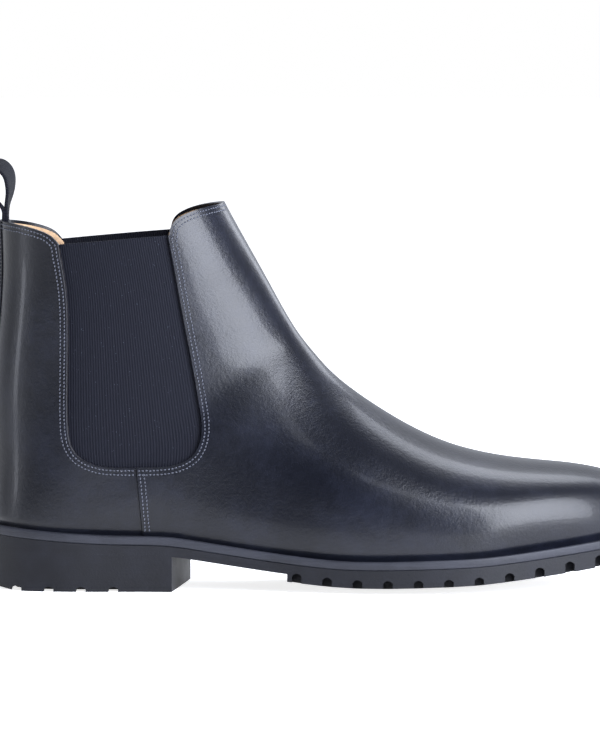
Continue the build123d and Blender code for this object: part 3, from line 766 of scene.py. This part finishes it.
class BootSizes(bpy.types.PropertyGroup):
    leather: length("Leather", "Thickness of the upper leather", 0.0016)
    backing: length("Backing", "Thickness of the interlining and of the elastic", 0.0012)
    lining: length("Lining", "Thickness of the lining leather", 0.001)
    edge_round: length("Edge rounding", "Radius of the burnished leather edges", 0.00035)
    overlap_lift: length("Overlap lift", "How far the front leather stands over the side seam", 0.0007)
    stitch: length("Stitch", "Length of one stitch", 0.0012)
    stitch_gap: length("Stitch gap", "Gap between two stitches", 0.00045)
    thread: length("Thread", "Diameter of the stitching thread", 0.00062)
    first_row: length("First row", "Distance of the first stitch row from an edge", 0.0013)
    row_step: length("Row step", "Distance between the two stitch rows", 0.0018)
    backstay: length("Back strip", "Width of the strip over the back seam", 0.013)
    welt_edge: length("Welt edge", "Rounding of the welt's upper edge", 0.0009)
    loop_twist: FloatProperty(name="Loop twist", description="Twist of the pull loop at its top", default=0.42,
                              subtype="ANGLE")


class BootColours(bpy.types.PropertyGroup):
    leather: colour("Leather", "Polished upper leather", (0.0036, 0.0043, 0.0078))
    lining: colour("Lining", "Lining leather", (0.44, 0.29, 0.17))
    elastic: colour("Elastic", "Gores and pull loop", (0.0030, 0.0035, 0.0070))
    thread: colour("Thread", "Stitching thread", (0.045, 0.050, 0.068))
    welt: colour("Welt", "Welt rubber", (0.014, 0.015, 0.020))
    sole: colour("Sole", "Outsole and heel rubber", (0.0055, 0.0060, 0.0090))


def sizes():
    return bpy.context.scene.boot_sizes


# --- Upper -------------------------------------------------------------------------------
FOOT_ROLL, FOOT_ROLL_HEIGHT = 0.9, 3.5      # how the leather draws in where it meets the welt


def foot_roll(base):
    """Inward draw just above the welt, in metres."""
    rise = base[..., 2] - welt_height(base[..., 0], base[..., 1])
    return -FOOT_ROLL * MM * (1 - smooth(rise, 0.0, FOOT_ROLL_HEIGHT))


def front_lift(base, side):
    """The front leather stands proud along the side seam and fades into the foot."""
    x, z = base[..., 0], base[..., 2]
    top, foot = WINDOW[WINDOW_SEAM], BLOCKS[side].feather.points
    share = np.clip((top[1] - z) / (top[1] - WELT_LOWEST - 12.5), 0, 1)
    seam_x = top[0] + share * (SEAM_FOOT - top[0])
    near = (1 - smooth(x - seam_x, 0.0, 14.0)) * (1 - smooth(z, 56.0, 70.0))
    behind_toe = 1 - smooth(x, 120.0, 140.0)
    return sizes().overlap_lift * near * behind_toe + foot_roll(base)


def quarter_lift(base, side):
    """The quarters only draw in at the foot, the same on both sides."""
    return foot_roll(base)


FOLD_BELOW, FOLD_ABOVE = 0.020, 0.014       # reach of the instep fold round its hinge


def fold(piece):
    """Bend a piece over the instep, where the front of the shaft opens forward."""
    centre = tuple(HINGE[:2])
    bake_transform(piece, "boot", "shaft_front", start=centre + (HINGE[2] - FOLD_BELOW,),
             end=centre + (HINGE[2] + FOLD_ABOVE,))


def front_grids(blocks, step=1):
    return [blocks[side].front_main()[::step, ::step] for side in (OUTER, INNER)] + [
        blocks[side].front_under()[::step, ::step] for side in (OUTER, INNER)]


def quarter_grids(blocks, step=1):
    return [blocks.rear_main()[::step, ::step], blocks.rear_under()[::step, ::step]]


FRONT_SIDES = (OUTER, INNER, OUTER, INNER)
SIDE_NAMES = {OUTER: "lateral", INNER: "medial"}


class BOOT_OT_front_leather(bpy.types.Operator):
    """Front leather, from the peak of the topline over the instep to the toe: a blended patch
    between the ridge, the gore edge and the welt, repeated on both sides"""
    bl_idname = "boot.front_leather"
    bl_label = "Front leather"

    def execute(self, context):
        mesh = make_mesh("front_leather", *skin(front_grids(BLOCKS), FRONT_SIDES, 0.0, front_lift))
        piece = make_piece("front_leather", mesh, finish("leather"), None)
        thicken(piece, sizes().leather, sizes().edge_round)
        fold(piece)
        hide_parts("vamp", "front_shaft")
        return {"FINISHED"}


class BOOT_OT_quarters(bpy.types.Operator):
    """The two quarters: blended patches between the gore edge, the topline, the back line and
    the welt, with a second patch under the gore"""
    bl_idname = "boot.quarters"
    bl_label = "Quarters"

    def execute(self, context):
        for side, label in SIDE_NAMES.items():
            name = label + "_quarter_leather"
            mesh = make_mesh(name, *skin(quarter_grids(BLOCKS[side]), (side, side), 0.0, quarter_lift))
            piece = make_piece(name, mesh, finish("leather"), "boot")
            thicken(piece, sizes().leather, sizes().edge_round)
            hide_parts(label + "_quarter")
        return {"FINISHED"}


class BOOT_OT_back_strip(bpy.types.Operator):
    """Narrow strip over the back seam: a band of even width along the back line, thinned
    towards its edges"""
    bl_idname = "boot.back_strip"
    bl_label = "Back strip"

    def execute(self, context):
        grid, away = strip_grid(sizes().backstay / 2)
        points, normals = last_surface(grid[..., 0], grid[..., 1], away)
        flat = points.reshape(-1, 3)
        quads = facing_out(flat, grid_quads(*away.shape), normals.reshape(-1, 3))
        piece = make_piece("back_strip", make_mesh("back_strip", flat, quads), finish("leather"), "boot")
        thicken(piece, STRIP_LIFT * MM, sizes().edge_round * 0.7)
        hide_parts("backstay")
        return {"FINISHED"}


STRIP_LIFT, STRIP_ROWS, STRIP_COLUMNS = 1.1, 150, 17
STRIP_SKIVE, SKIVE_START = 0.55, 0.72       # share thinned at the edges, and where it starts


def strip_grid(half_width, columns=STRIP_COLUMNS):
    """(station, angle) grid of a band round the back line, and its distance outside the last."""
    blocks = BLOCKS[OUTER]
    top = along_last(curve(REAR_TOPLINE)[::-1], 20, OUTER)[-1, 0]
    stations = middle_line(top, blocks.feather.heel, BACK_SIDE, STRIP_ROWS)[:, 0]
    shift = np.linspace(-1, 1, columns)[None] * half_width / MM
    station = np.repeat(stations[:, None], columns, 1)
    _, _, _, _, _, outer, inner, _, front_n, back_n = station_rows(station)
    half = np.where(shift < 0, outer, inner)
    angle = bisect(lambda a: half * roundness(a, front_n, back_n) * np.sin(a) - np.abs(shift),
                   np.full(station.shape, math.pi / 2), np.full(station.shape, math.pi))
    angle = np.where(shift < 0, angle, 2 * math.pi - angle)
    skive = STRIP_SKIVE * smooth(np.abs(shift) / (half_width / MM), SKIVE_START, 1.0)
    away = STRIP_LIFT * MM * (1 - skive) * np.ones(station.shape)
    return np.stack([station, angle], -1), away


class BOOT_OT_linings(bpy.types.Operator):
    """Linings and front interlining: the leather's own patches, one wall further in"""
    bl_idname = "boot.linings"
    bl_label = "Linings"

    def execute(self, context):
        sized = sizes()
        under_leather, under_backing = -sized.leather, -sized.leather - sized.backing
        layers = (
            ("front_interlining", under_leather, sized.backing, "interlining", "interlining",
             ("vamp_backing", "front_shaft_backing")),
            ("front_lining", under_backing, sized.lining, "lining", "lining_leather",
             ("vamp_lining", "front_shaft_lining")),
        )
        for name, depth, thickness, look, slot, nodes in layers:
            mesh = make_mesh(name, *skin(front_grids(INNER_BLOCKS, 2), FRONT_SIDES, depth))
            piece = make_piece(name, mesh, finish(look), None)
            thicken(piece, thickness)
            fold(piece)
            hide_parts(*nodes)
        layers = (
            ("_quarter_interlining", under_leather, sized.backing, "interlining", "interlining", "_quarter_backing"),
            ("_quarter_leather_lining", under_backing, sized.lining, "lining", "lining_leather", "_quarter_lining"),
        )
        for side, label in SIDE_NAMES.items():
            for name, depth, thickness, look, slot, node in layers:
                grids = quarter_grids(INNER_BLOCKS[side], 2)
                mesh = make_mesh(label + name, *skin(grids, (side, side), depth))
                piece = make_piece(label + name, mesh, finish(look), "boot")
                thicken(piece, thickness)
                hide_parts(label + node)
        return {"FINISHED"}


GORE_MARGIN = 6.0                            # elastic hidden under the leather
GORE_ROWS, GORE_COLUMNS = 96, 64
GORE_WIDTH, GORE_HEIGHT = 0.062, 0.104
GORE_GAP = 0.1


def side_offset(path, away):
    """A side-view path moved to its right by a distance in millimetres."""
    tangent = np.gradient(path, axis=0)
    tangent /= np.linalg.norm(tangent, axis=1, keepdims=True)
    return path + np.stack([tangent[:, 1], -tangent[:, 0]], -1) * away


class BOOT_OT_gores(bpy.types.Operator):
    """Elastic gores: a blended patch in side view, carried onto the last under the leather,
    ribbed along its height. The front edge follows the fold and the rear edge stays"""
    bl_idname = "boot.gores"
    bl_label = "Gores"

    def execute(self, context):
        wide = side_offset(WINDOW, GORE_MARGIN)
        rear = evenly(wide[REAR_TOP:REAR_CORNER + 1], GORE_ROWS)
        front = evenly(wide[FRONT_CORNER:FRONT_TOP + 1][::-1], GORE_ROWS)
        bottom = evenly(wide[REAR_CORNER:FRONT_CORNER + 1], GORE_COLUMNS)
        top = line(rear[0], front[0], GORE_COLUMNS)
        panel = patch(rear, front, top, bottom)
        down, across = np.meshgrid(np.linspace(0, 1, GORE_ROWS), np.linspace(0, 1, GORE_COLUMNS), indexing="ij")
        weave = np.stack([across * GORE_WIDTH, down * GORE_HEIGHT], -1).reshape(-1, 2)
        for side, label in SIDE_NAMES.items():
            spots = locate(panel)
            points, quads = skin([spots], [side], -sizes().leather - GORE_GAP * MM)
            name = label + "_elastic_gore"
            piece = make_piece(name, make_mesh(name, points, quads, weave), finish("elastic"), None)
            thicken(piece, sizes().backing - GORE_GAP * MM, 0.0002)
            fold(piece)
            stretch(piece)
            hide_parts(label + "_gore")
        return {"FINISHED"}


def stretch(piece):
    """Let the fold fade from the front edge of a gore to its rear edge, as elastic stretches."""
    mesh = piece.data
    count = len(mesh.vertices)
    places, share = np.empty(count * 3), np.empty(count)
    mesh.vertices.foreach_get("co", places)
    weights = mesh.attributes["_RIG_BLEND"].data
    weights.foreach_get("value", share)
    x = places.reshape(-1, 3)[:, 0]
    front = place(np.array([GORE_FRONT_X, 0.0, 0.0]))[0]
    rear = place(np.array([GORE_REAR_X, 0.0, 0.0]))[0]
    weights.foreach_set("value", share * np.clip((x - rear) / (front - rear), 0, 1))


GORE_REAR_X, GORE_FRONT_X = 37.0, 84.0


class BOOT_OT_inside(bpy.types.Operator):
    """Heel grip and sock: a patch round the inside of the heel, and a sheet laid over the
    insole that follows the welt's height formula"""
    bl_idname = "boot.inside"
    bl_label = "Heel grip and sock"

    def execute(self, context):
        make_heel_grip()
        make_sock()
        return {"FINISHED"}


GRIP_EDGE = np.array([(46.0, 32.0), (46.0, 60.0), (43.5, 73.0), (36.0, 86.0), (22.0, 97.0)])
GRIP_TOP = np.array([(22.0, 97.0), (12.0, 100.5), (4.3, 102.0)])
GRIP_THICKNESS = 0.0008


def make_heel_grip():
    """Blended patch on each side between the grip's front edge, its top and the back line."""
    grids = []
    for side in (OUTER, INNER):
        edge = along_last(curve(GRIP_EDGE), 60, side)
        top = along_last(curve(GRIP_TOP), 40, side)
        top[0], top[-1, 1] = edge[-1], BACK_SIDE
        foot_z = last_base(edge[0, 0], np.array(side * edge[0, 1]))[2]
        start = along_last(np.array([(4.0, foot_z), (3.5, foot_z)]), 2, side)[0, 0]
        back = middle_line(start, top[-1, 0], BACK_SIDE, 60)
        bottom = line(edge[0], back[0], 40)
        grids.append(patch(edge, back, bottom, top))
    inward = -sizes().leather - sizes().backing - sizes().lining
    mesh = make_mesh("suede_heel_grip", *skin(grids, (OUTER, INNER), inward))
    piece = make_piece("suede_heel_grip", mesh, finish("lining"), "boot")
    thicken(piece, GRIP_THICKNESS, 0.0002)
    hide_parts("heel_grip")


SOCK_INSET, SOCK_LIFT, SOCK_THICKNESS = 5.0, 3.7, 0.0015


def make_sock():
    """Sheet between the two feather lines, inset by the wall, at the welt's height plus a lift."""
    outer, inner = BLOCKS[OUTER].feather.points, BLOCKS[INNER].feather.points
    ends = outer[:, 0].min() + SOCK_INSET, outer[:, 0].max() - SOCK_INSET
    turn = np.linspace(0, math.pi, 140)
    x = (ends[0] + ends[1]) / 2 - (ends[1] - ends[0]) / 2 * np.cos(turn)
    edges = []
    for points, sign in ((outer, 1), (inner, -1)):
        order = np.argsort(points[:, 0])
        reach = np.interp(x, points[order, 0], points[order, 1])
        edges.append(reach + sign * SOCK_INSET * np.sin(turn) ** 0.3)
    middle = (edges[0] + edges[1]) / 2
    edges = [np.where(turn * (math.pi - turn) < 1e-9, middle, edge) for edge in edges]
    share = np.linspace(0, 1, 40)[None]
    y = edges[0][:, None] * (1 - share) + edges[1][:, None] * share
    xs = np.repeat(x[:, None], 40, 1)
    points = place(np.stack([xs, y, welt_height(xs, y) + SOCK_LIFT], -1)).reshape(-1, 3)
    piece = make_piece("leather_sock", make_mesh("leather_sock", points, grid_quads(140, 40)), finish("lining"),
                       "boot")
    thicken(piece, SOCK_THICKNESS)
    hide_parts("sock")


LOOP_WIDTH, LOOP_WALL = 13.0, 1.9
# across as a share of half the spread, up as a share of the height; the loop leans back
LOOP_SHAPE = np.array([(0.06, -0.16), (0.05, 0.02), (0.10, 0.16), (0.25, 0.34), (0.29, 0.54), (0.06, 0.76),
                       (-0.48, 0.86), (-1.05, 0.80), (-1.36, 0.60), (-1.18, 0.38), (-0.70, 0.20), (-0.22, 0.06),
                       (-0.16, -0.16)])
LOOP_BEND = 0.0035


class BOOT_OT_pull_loop(bpy.types.Operator):
    """Pull loop: a flat webbing band, an oval profile carried round a teardrop and slightly
    twisted towards its top"""
    bl_idname = "boot.pull_loop"
    bl_label = "Pull loop"

    def execute(self, context):
        low, high = (np.array(corner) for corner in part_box("pull_loop"))
        middle, half, height = (low[0] + high[0]) / 2, (high[0] - low[0]) / 2, high[2] - low[2]
        route = curve(LOOP_SHAPE * np.array([half, height]) / MM, 150) * MM
        tangent = np.gradient(route, axis=0)
        tangent /= np.linalg.norm(tangent, axis=1, keepdims=True)
        along = np.linspace(0, 1, len(route))
        twist = sizes().loop_twist * np.sin(math.pi * along) ** 2
        out = np.stack([tangent[:, 1], 0 * along, -tangent[:, 0]], -1)
        side = np.array([0.0, 1.0, 0.0]) * np.cos(twist)[:, None] + out * np.sin(twist)[:, None]
        thick = out * np.cos(twist)[:, None] - np.array([0.0, 1.0, 0.0]) * np.sin(twist)[:, None]
        turn = np.linspace(0, 2 * math.pi, 29)[:-1]
        wide = np.sign(np.cos(turn)) * np.abs(np.cos(turn)) ** 0.35 * LOOP_WIDTH / 2 * MM
        deep = np.sign(np.sin(turn)) * np.abs(np.sin(turn)) ** 0.6 * LOOP_WALL / 2 * MM
        centre = np.stack([middle + route[:, 0], np.full(len(route), (low[1] + high[1]) / 2),
                           low[2] + route[:, 1]], -1)
        points = (centre[:, None] + side[:, None] * wide[None, :, None]
                  + thick[:, None] * deep[None, :, None]).reshape(-1, 3)
        walked = walked_along(route)
        weave = np.stack([np.tile(wide, len(route)), np.repeat(walked, len(turn))], -1)
        quads = tube_quads(len(route), len(turn))
        quads = outward_quads(points, quads, len(turn))
        piece = make_piece("webbing_pull_loop", make_mesh("webbing_pull_loop", points, quads, weave),
                           finish("webbing"), None)
        hinge = frame["joints"][1]["pos_m"]
        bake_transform(piece, "boot", "pull_loop", start=(hinge[0], hinge[1], hinge[2] - LOOP_BEND),
                 end=(hinge[0], hinge[1], hinge[2] + LOOP_BEND))
        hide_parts("pull_loop")
        return {"FINISHED"}


def outward_quads(points, quads, around):
    """Tube quads turned so that they face away from the tube's middle."""
    rings = points.reshape(-1, around, 3)
    centre = np.repeat(rings.mean(1), around, 0)
    facing = np.cross(points[quads[:, 2]] - points[quads[:, 0]], points[quads[:, 3]] - points[quads[:, 1]])
    away = points[quads].mean(1) - centre[quads[:, 0]]
    return quads[:, ::-1] if np.sum(facing * away) < 0 else quads


# --- Stitching ---------------------------------------------------------------------------
STITCH_SHARES = np.array([0.0, 0.07, 0.3, 0.7, 0.93, 1.0])
STITCH_GIRTH = np.array([0.0, 0.72, 1.0, 1.0, 0.72, 0.0])
STITCH_HEIGHT = np.array([-0.9, -0.1, 0.55, 0.55, -0.1, -0.9])   # in thread radii
STITCH_AROUND = 6


def stitches(points, normals, seed):
    """Stitches along a path: each is a tapered capsule whose ends dip into the leather."""
    sized = sizes()
    walked = walked_along(points)
    pitch = sized.stitch + sized.stitch_gap
    starts = np.arange(sized.stitch_gap, walked[-1] - sized.stitch, pitch)

    def read(table, places):
        return np.stack([np.interp(places, walked, table[:, i]) for i in range(3)], -1)

    head, tail = read(points, starts), read(points, starts + sized.stitch)
    along = tail - head
    span = np.linalg.norm(along, axis=1, keepdims=True)
    along /= span
    up = read(normals, starts + sized.stitch / 2)
    up -= along * np.sum(up * along, 1, keepdims=True)
    up /= np.linalg.norm(up, axis=1, keepdims=True)
    aside = np.cross(along, up)
    wobble = np.random.default_rng(seed).normal(0, 0.05, (len(starts), 2)) * MM
    radius = sized.thread / 2
    turn = np.arange(STITCH_AROUND) * 2 * math.pi / STITCH_AROUND
    slant = (STITCH_SHARES - 0.5)[None, :, None] * (0.12 * MM)
    centre = (head[:, None] + along[:, None] * (STITCH_SHARES[None, :, None] * span[:, None])
              + up[:, None] * (STITCH_HEIGHT * radius)[None, :, None]
              + aside[:, None] * (slant + wobble[:, :1, None]))
    girth = (STITCH_GIRTH * radius)[None, :, None, None]
    ring = (aside[:, None, None] * np.cos(turn)[None, None, :, None]
            + up[:, None, None] * np.sin(turn)[None, None, :, None] * 0.85)
    shape = (centre[:, :, None] + ring * girth).reshape(-1, 3)
    block = len(STITCH_SHARES) * STITCH_AROUND
    one = tube_quads(len(STITCH_SHARES), STITCH_AROUND)
    one = outward_quads(shape[:block], one, STITCH_AROUND)
    quads = (np.arange(len(starts))[:, None, None] * block + one[None]).reshape(-1, 4)
    return shape, quads


def edge_rows(path, away):
    """A stitch row at a distance inside an edge, without the loop that an offset makes in a
    sharp corner."""
    moved = side_offset(path, away)
    gap = np.linalg.norm(moved[:, None] - path[None], axis=2).min(1)
    return moved[gap > away * 0.985]


def on_leather(side_view, side, lift, count=900):
    """Points and normals on one side's leather along a side-view path."""
    spots = along_last(side_view, count, side)
    signed = side * spots[:, 1]
    away = lift(last_base(spots[:, 0], signed), side)
    return last_surface(spots[:, 0], signed, away)


def sew(name, rows, fold_over):
    """One stitching piece from several rows of (points, normals)."""
    points, quads, count = [], [], 0
    for seed, (path, normals) in enumerate(rows):
        shape, faces = stitches(path, normals, seed)
        points.append(shape)
        quads.append(faces + count)
        count += len(shape)
    mesh = make_mesh(name, np.vstack(points), np.vstack(quads))
    piece = make_piece(name, mesh, finish("thread"), None if fold_over else "boot")
    if fold_over:
        fold(piece)
    return piece


class BOOT_OT_stitching(bpy.types.Operator):
    """Double rows of stitching along the gore edges, the topline, the side seams and the back
    strip: side-view edges moved inwards and carried onto the leather"""
    bl_idname = "boot.stitching"
    bl_label = "Stitching"

    def execute(self, context):
        sized = sizes()
        distances = (sized.first_row / MM, (sized.first_row + sized.row_step) / MM)
        front_edge = np.vstack([WINDOW[WINDOW_SEAM:FRONT_TOP:3], curve(FRONT_TOPLINE)])
        rear_edge = np.vstack([curve(REAR_TOPLINE), WINDOW[REAR_TOP + 1:WINDOW_SEAM:3]])
        front_rows, rear_rows = [], []
        for side in (OUTER, INNER):
            foot = BLOCKS[side].seam
            seam_base = last_base(foot[:, 0], side * foot[:, 1])[:, [0, 2]]
            for away in distances:
                front_rows.append(on_leather(edge_rows(front_edge, away), side, front_lift))
                rear_rows.append(on_leather(edge_rows(rear_edge, away), side, quarter_lift))
                seam_row = seam_base[2:-2] + np.array([away, 0.0])
                front_rows.append(on_leather(seam_row, side, front_lift, 200))
        inset = sized.backstay / 2 - sized.first_row
        grid, away = strip_grid(inset, 3)
        for column in (0, 2):
            rear_rows.append(last_surface(grid[:, column, 0], grid[:, column, 1], away[:, 1]))
        sew("front_stitching", front_rows, True)
        sew("quarter_stitching", rear_rows, False)
        return {"FINISHED"}


# --- Sole --------------------------------------------------------------------------------
REACH_HEEL, REACH_TOE, WELT_THICKNESS, WELT_INSET = 2.6, 5.0, 4.1, 8.5
RIM_POINTS, OUTLINE_SMOOTHING = 720, 24


def sole_outline():
    """Plan curve where the upper meets the welt, evened and smoothed, with its outward
    directions and each point's share from heel to toe."""
    outer, inner = BLOCKS[OUTER].feather.points[:, :2], BLOCKS[INNER].feather.points[:, :2]
    loop = np.vstack([outer, inner[::-1], outer[:1]])
    even = evenly(loop, RIM_POINTS + 1)[:-1]
    for _ in range(OUTLINE_SMOOTHING):
        even = (np.roll(even, 1, 0) + 2 * even + np.roll(even, -1, 0)) / 4
    tangent = np.roll(even, -3, 0) - np.roll(even, 3, 0)
    tangent /= np.linalg.norm(tangent, axis=1, keepdims=True)
    away = np.stack([-tangent[:, 1], tangent[:, 0]], -1)
    if np.sum(away * (even - even.mean(0))) < 0:
        away = -away
    share = (even[:, 0] - even[:, 0].min()) / np.ptp(even[:, 0])
    return even, away, share


class BOOT_OT_welt(bpy.types.Operator):
    """Welt: a rounded strip profile carried round the sole's outline at the welt's height"""
    bl_idname = "boot.welt"
    bl_label = "Welt"

    def execute(self, context):
        outline, away, share = sole_outline()
        reach = REACH_HEEL + (REACH_TOE - REACH_HEEL) * smooth(share, 0.35, 0.7)
        round_off = sizes().welt_edge / MM
        corner = np.linspace(math.pi / 2, 0, 7)
        across = np.concatenate([[-WELT_INSET], -round_off + round_off * np.cos(corner), [0.0, -0.15, -0.55],
                                 [-WELT_INSET]])
        up = np.concatenate([[0.0], -round_off + round_off * np.sin(corner),
                             [-WELT_THICKNESS + 0.7, -WELT_THICKNESS + 0.3, -WELT_THICKNESS], [-WELT_THICKNESS]])
        rim = outline[:, None] + away[:, None] * (reach[:, None] + across[None])[..., None]
        height = welt_height(rim[..., 0], rim[..., 1]) + up[None]
        points = place(np.concatenate([rim, height[..., None]], -1)).reshape(-1, 3)
        quads = tube_quads(RIM_POINTS, len(across), closed_path=True)
        quads = outward_quads(points, quads, len(across))
        piece = make_piece("rubber_welt", make_mesh("rubber_welt", points, quads), finish("welt"), "boot")
        crease(piece)
        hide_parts("welt")
        return {"FINISHED"}


def crease(piece):
    """Keep corners over 40 degrees sharp while the rest shades smooth."""
    piece.data.set_sharp_from_angle(angle=math.radians(40))


NODE_FINISHES = {
    "sole": ("outsole", "heel_base", "heel_top_piece"),
    "board": ("insole",),
    "cork": ("cork_filler",),
    "felt": ("toe_puff", "heel_counter"),
    "webbing": ("pull_loop_tail",),
    "steel": ("shank", "heel_nails"),
}


class BOOT_OT_sole_and_core(bpy.types.Operator):
    """Finishes for the frame's own sole pieces and for the pieces hidden between the layers"""
    bl_idname = "boot.sole_and_core"
    bl_label = "Sole and hidden pieces"

    def execute(self, context):
        for look, nodes in NODE_FINISHES.items():
            for node in nodes:
                piece = bpy.data.objects[node]
                piece.data.materials.clear()
                piece.data.materials.append(finish(look))
        return {"FINISHED"}


# --- Stage -------------------------------------------------------------------------------
SOFTBOXES = (
    # place, width and height in metres, watts
    ((0.62, -0.66, 0.43), 0.62, 0.84, 36.0),
    ((0.85, 1.05, 0.50), 0.45, 0.80, 6.0),
    ((0.20, 0.75, 1.35), 1.1, 0.5, 16.0),
    ((0.25, -1.15, 1.05), 0.9, 0.18, 3.0),
    ((-1.10, -0.28, 0.40), 0.12, 0.7, 4.5),
)


class BOOT_OT_stage(bpy.types.Operator):
    """Pale floor, soft studio light and the camera"""
    bl_idname = "boot.stage"
    bl_label = "Stage"

    def execute(self, context):
        corners = np.array([(-6.0, -6.0, 0.0), (6.0, -6.0, 0.0), (6.0, 6.0, 0.0), (-6.0, 6.0, 0.0)])
        mesh = make_mesh("floor", corners, np.array([[0, 1, 2, 3]]))
        floor = bpy.data.objects.new("floor", mesh)
        context.scene.collection.objects.link(floor)
        paper = Finish("studio_paper", Specular_IOR_Level=0.1, Emission_Strength=FLOOR_GLOW,
                       Emission_Color=(1.0, 1.0, 1.0, 1.0))
        speck = paper.noise(60.0, 2.0)
        mesh.materials.append(paper.set(Base_Color=paper.mix(speck, (0.93, 0.93, 0.93, 1), (0.95, 0.95, 0.95, 1)),
                                        Roughness=0.9 + speck * 0.05))
        context.scene.world = studio_room()
        context.scene.view_settings.view_transform = "Standard"
        for number, (spot, wide, high, power) in enumerate(SOFTBOXES):
            light = bpy.data.lights.new(f"softbox_{number}", "AREA")
            light.shape, light.size, light.size_y, light.energy = "RECTANGLE", wide, high, power
            light.color = DAYLIGHT
            lamp = bpy.data.objects.new(f"softbox_{number}", light)
            lamp.visible_camera = False
            context.scene.collection.objects.link(lamp)
            aim = np.array(LAMP_AIM) - np.array(spot)
            lamp.location = spot
            lamp.rotation_euler = aim_angles(aim)
        camera = bpy.data.objects.new("camera", bpy.data.cameras.new("camera"))
        context.scene.collection.objects.link(camera)
        camera.data.lens, camera.data.sensor_width, camera.data.clip_end = LENS, SENSOR, FAR_LIMIT
        camera.location = CAMERA_PLACE
        camera.rotation_euler = (math.radians(90 - LOOK_DOWN), 0.0, 0.0)
        context.scene.camera = camera
        return {"FINISHED"}


CAMERA_PLACE, LOOK_DOWN = (-0.01134, -4.0, 0.361), 3.78   # metres, degrees below level
LENS, SENSOR, FAR_LIMIT = 440.45, 36.0, 30.0
LAMP_AIM = (0.02, 0.0, 0.08)
DAYLIGHT = (0.86, 0.90, 1.0)
FLOOR_GLOW = 0.8                             # keeps the paper white up to the contact shadow
ROOM_DIM, ROOM_BRIGHT = 0.045, 0.9           # camera side and far side of the room


def studio_room():
    """White sweep on the far side and a dim room on the camera's side: the strength follows the
    direction's y. The camera itself always sees white."""
    world = bpy.data.worlds.new("studio")
    world.use_nodes = True
    tree = world.node_tree
    background = tree.nodes["Background"]
    direction = tree.nodes.new("ShaderNodeTexCoord")
    parts = tree.nodes.new("ShaderNodeSeparateXYZ")
    far = tree.nodes.new("ShaderNodeMapRange")
    far.interpolation_type = "SMOOTHSTEP"
    for label, value in (("From Min", -0.35), ("From Max", 0.55), ("To Min", ROOM_DIM), ("To Max", ROOM_BRIGHT)):
        far.inputs[label].default_value = value
    ray = tree.nodes.new("ShaderNodeLightPath")
    seen = tree.nodes.new("ShaderNodeMath")
    seen.operation = "MAXIMUM"
    tint = tree.nodes.new("ShaderNodeMix")
    tint.data_type = "RGBA"
    tint.inputs["A"].default_value = DAYLIGHT + (1.0,)
    tint.inputs["B"].default_value = (1.0, 1.0, 1.0, 1.0)
    tree.links.new(ray.outputs["Is Camera Ray"], tint.inputs["Factor"])
    tree.links.new(tint.outputs["Result"], background.inputs["Color"])
    tree.links.new(direction.outputs["Generated"], parts.inputs[0])
    tree.links.new(parts.outputs["Y"], far.inputs["Value"])
    tree.links.new(far.outputs["Result"], seen.inputs[0])
    tree.links.new(ray.outputs["Is Camera Ray"], seen.inputs[1])
    tree.links.new(seen.outputs[0], background.inputs["Strength"])
    return world


def aim_angles(direction):
    """Angles that turn a lamp's -Z axis along a direction."""
    flat = math.hypot(direction[0], direction[1])
    return (math.atan2(flat, -direction[2]), 0.0, math.atan2(-direction[0], direction[1]))


class BOOT_PT_panel(bpy.types.Panel):
    bl_idname = "BOOT_PT_panel"
    bl_label = "Chelsea Boot"
    bl_space_type = "VIEW_3D"
    bl_region_type = "UI"
    bl_category = "Boot"

    def draw(self, context):
        for settings in (context.scene.boot_sizes, context.scene.boot_colours):
            box = self.layout.box()
            for name in settings.__annotations__:
                box.prop(settings, name)
        for step in STEPS:
            self.layout.operator(step.bl_idname)


STEPS = (
    BOOT_OT_stage,
    BOOT_OT_front_leather,
    BOOT_OT_quarters,
    BOOT_OT_back_strip,
    BOOT_OT_linings,
    BOOT_OT_gores,
    BOOT_OT_inside,
    BOOT_OT_pull_loop,
    BOOT_OT_stitching,
    BOOT_OT_welt,
    BOOT_OT_sole_and_core,
)
CLASSES = (BootSizes, BootColours) + STEPS + (BOOT_PT_panel,)


def register():
    for made in CLASSES:
        bpy.utils.register_class(made)
    bpy.types.Scene.boot_sizes = PointerProperty(type=BootSizes)
    bpy.types.Scene.boot_colours = PointerProperty(type=BootColours)


def unregister():
    del bpy.types.Scene.boot_sizes, bpy.types.Scene.boot_colours
    for made in reversed(CLASSES):
        bpy.utils.unregister_class(made)


def main():
    register()
    for step in STEPS:
        group, name = step.bl_idname.split(".")
        getattr(getattr(bpy.ops, group), name)()


if __name__ == "__main__":
    main()
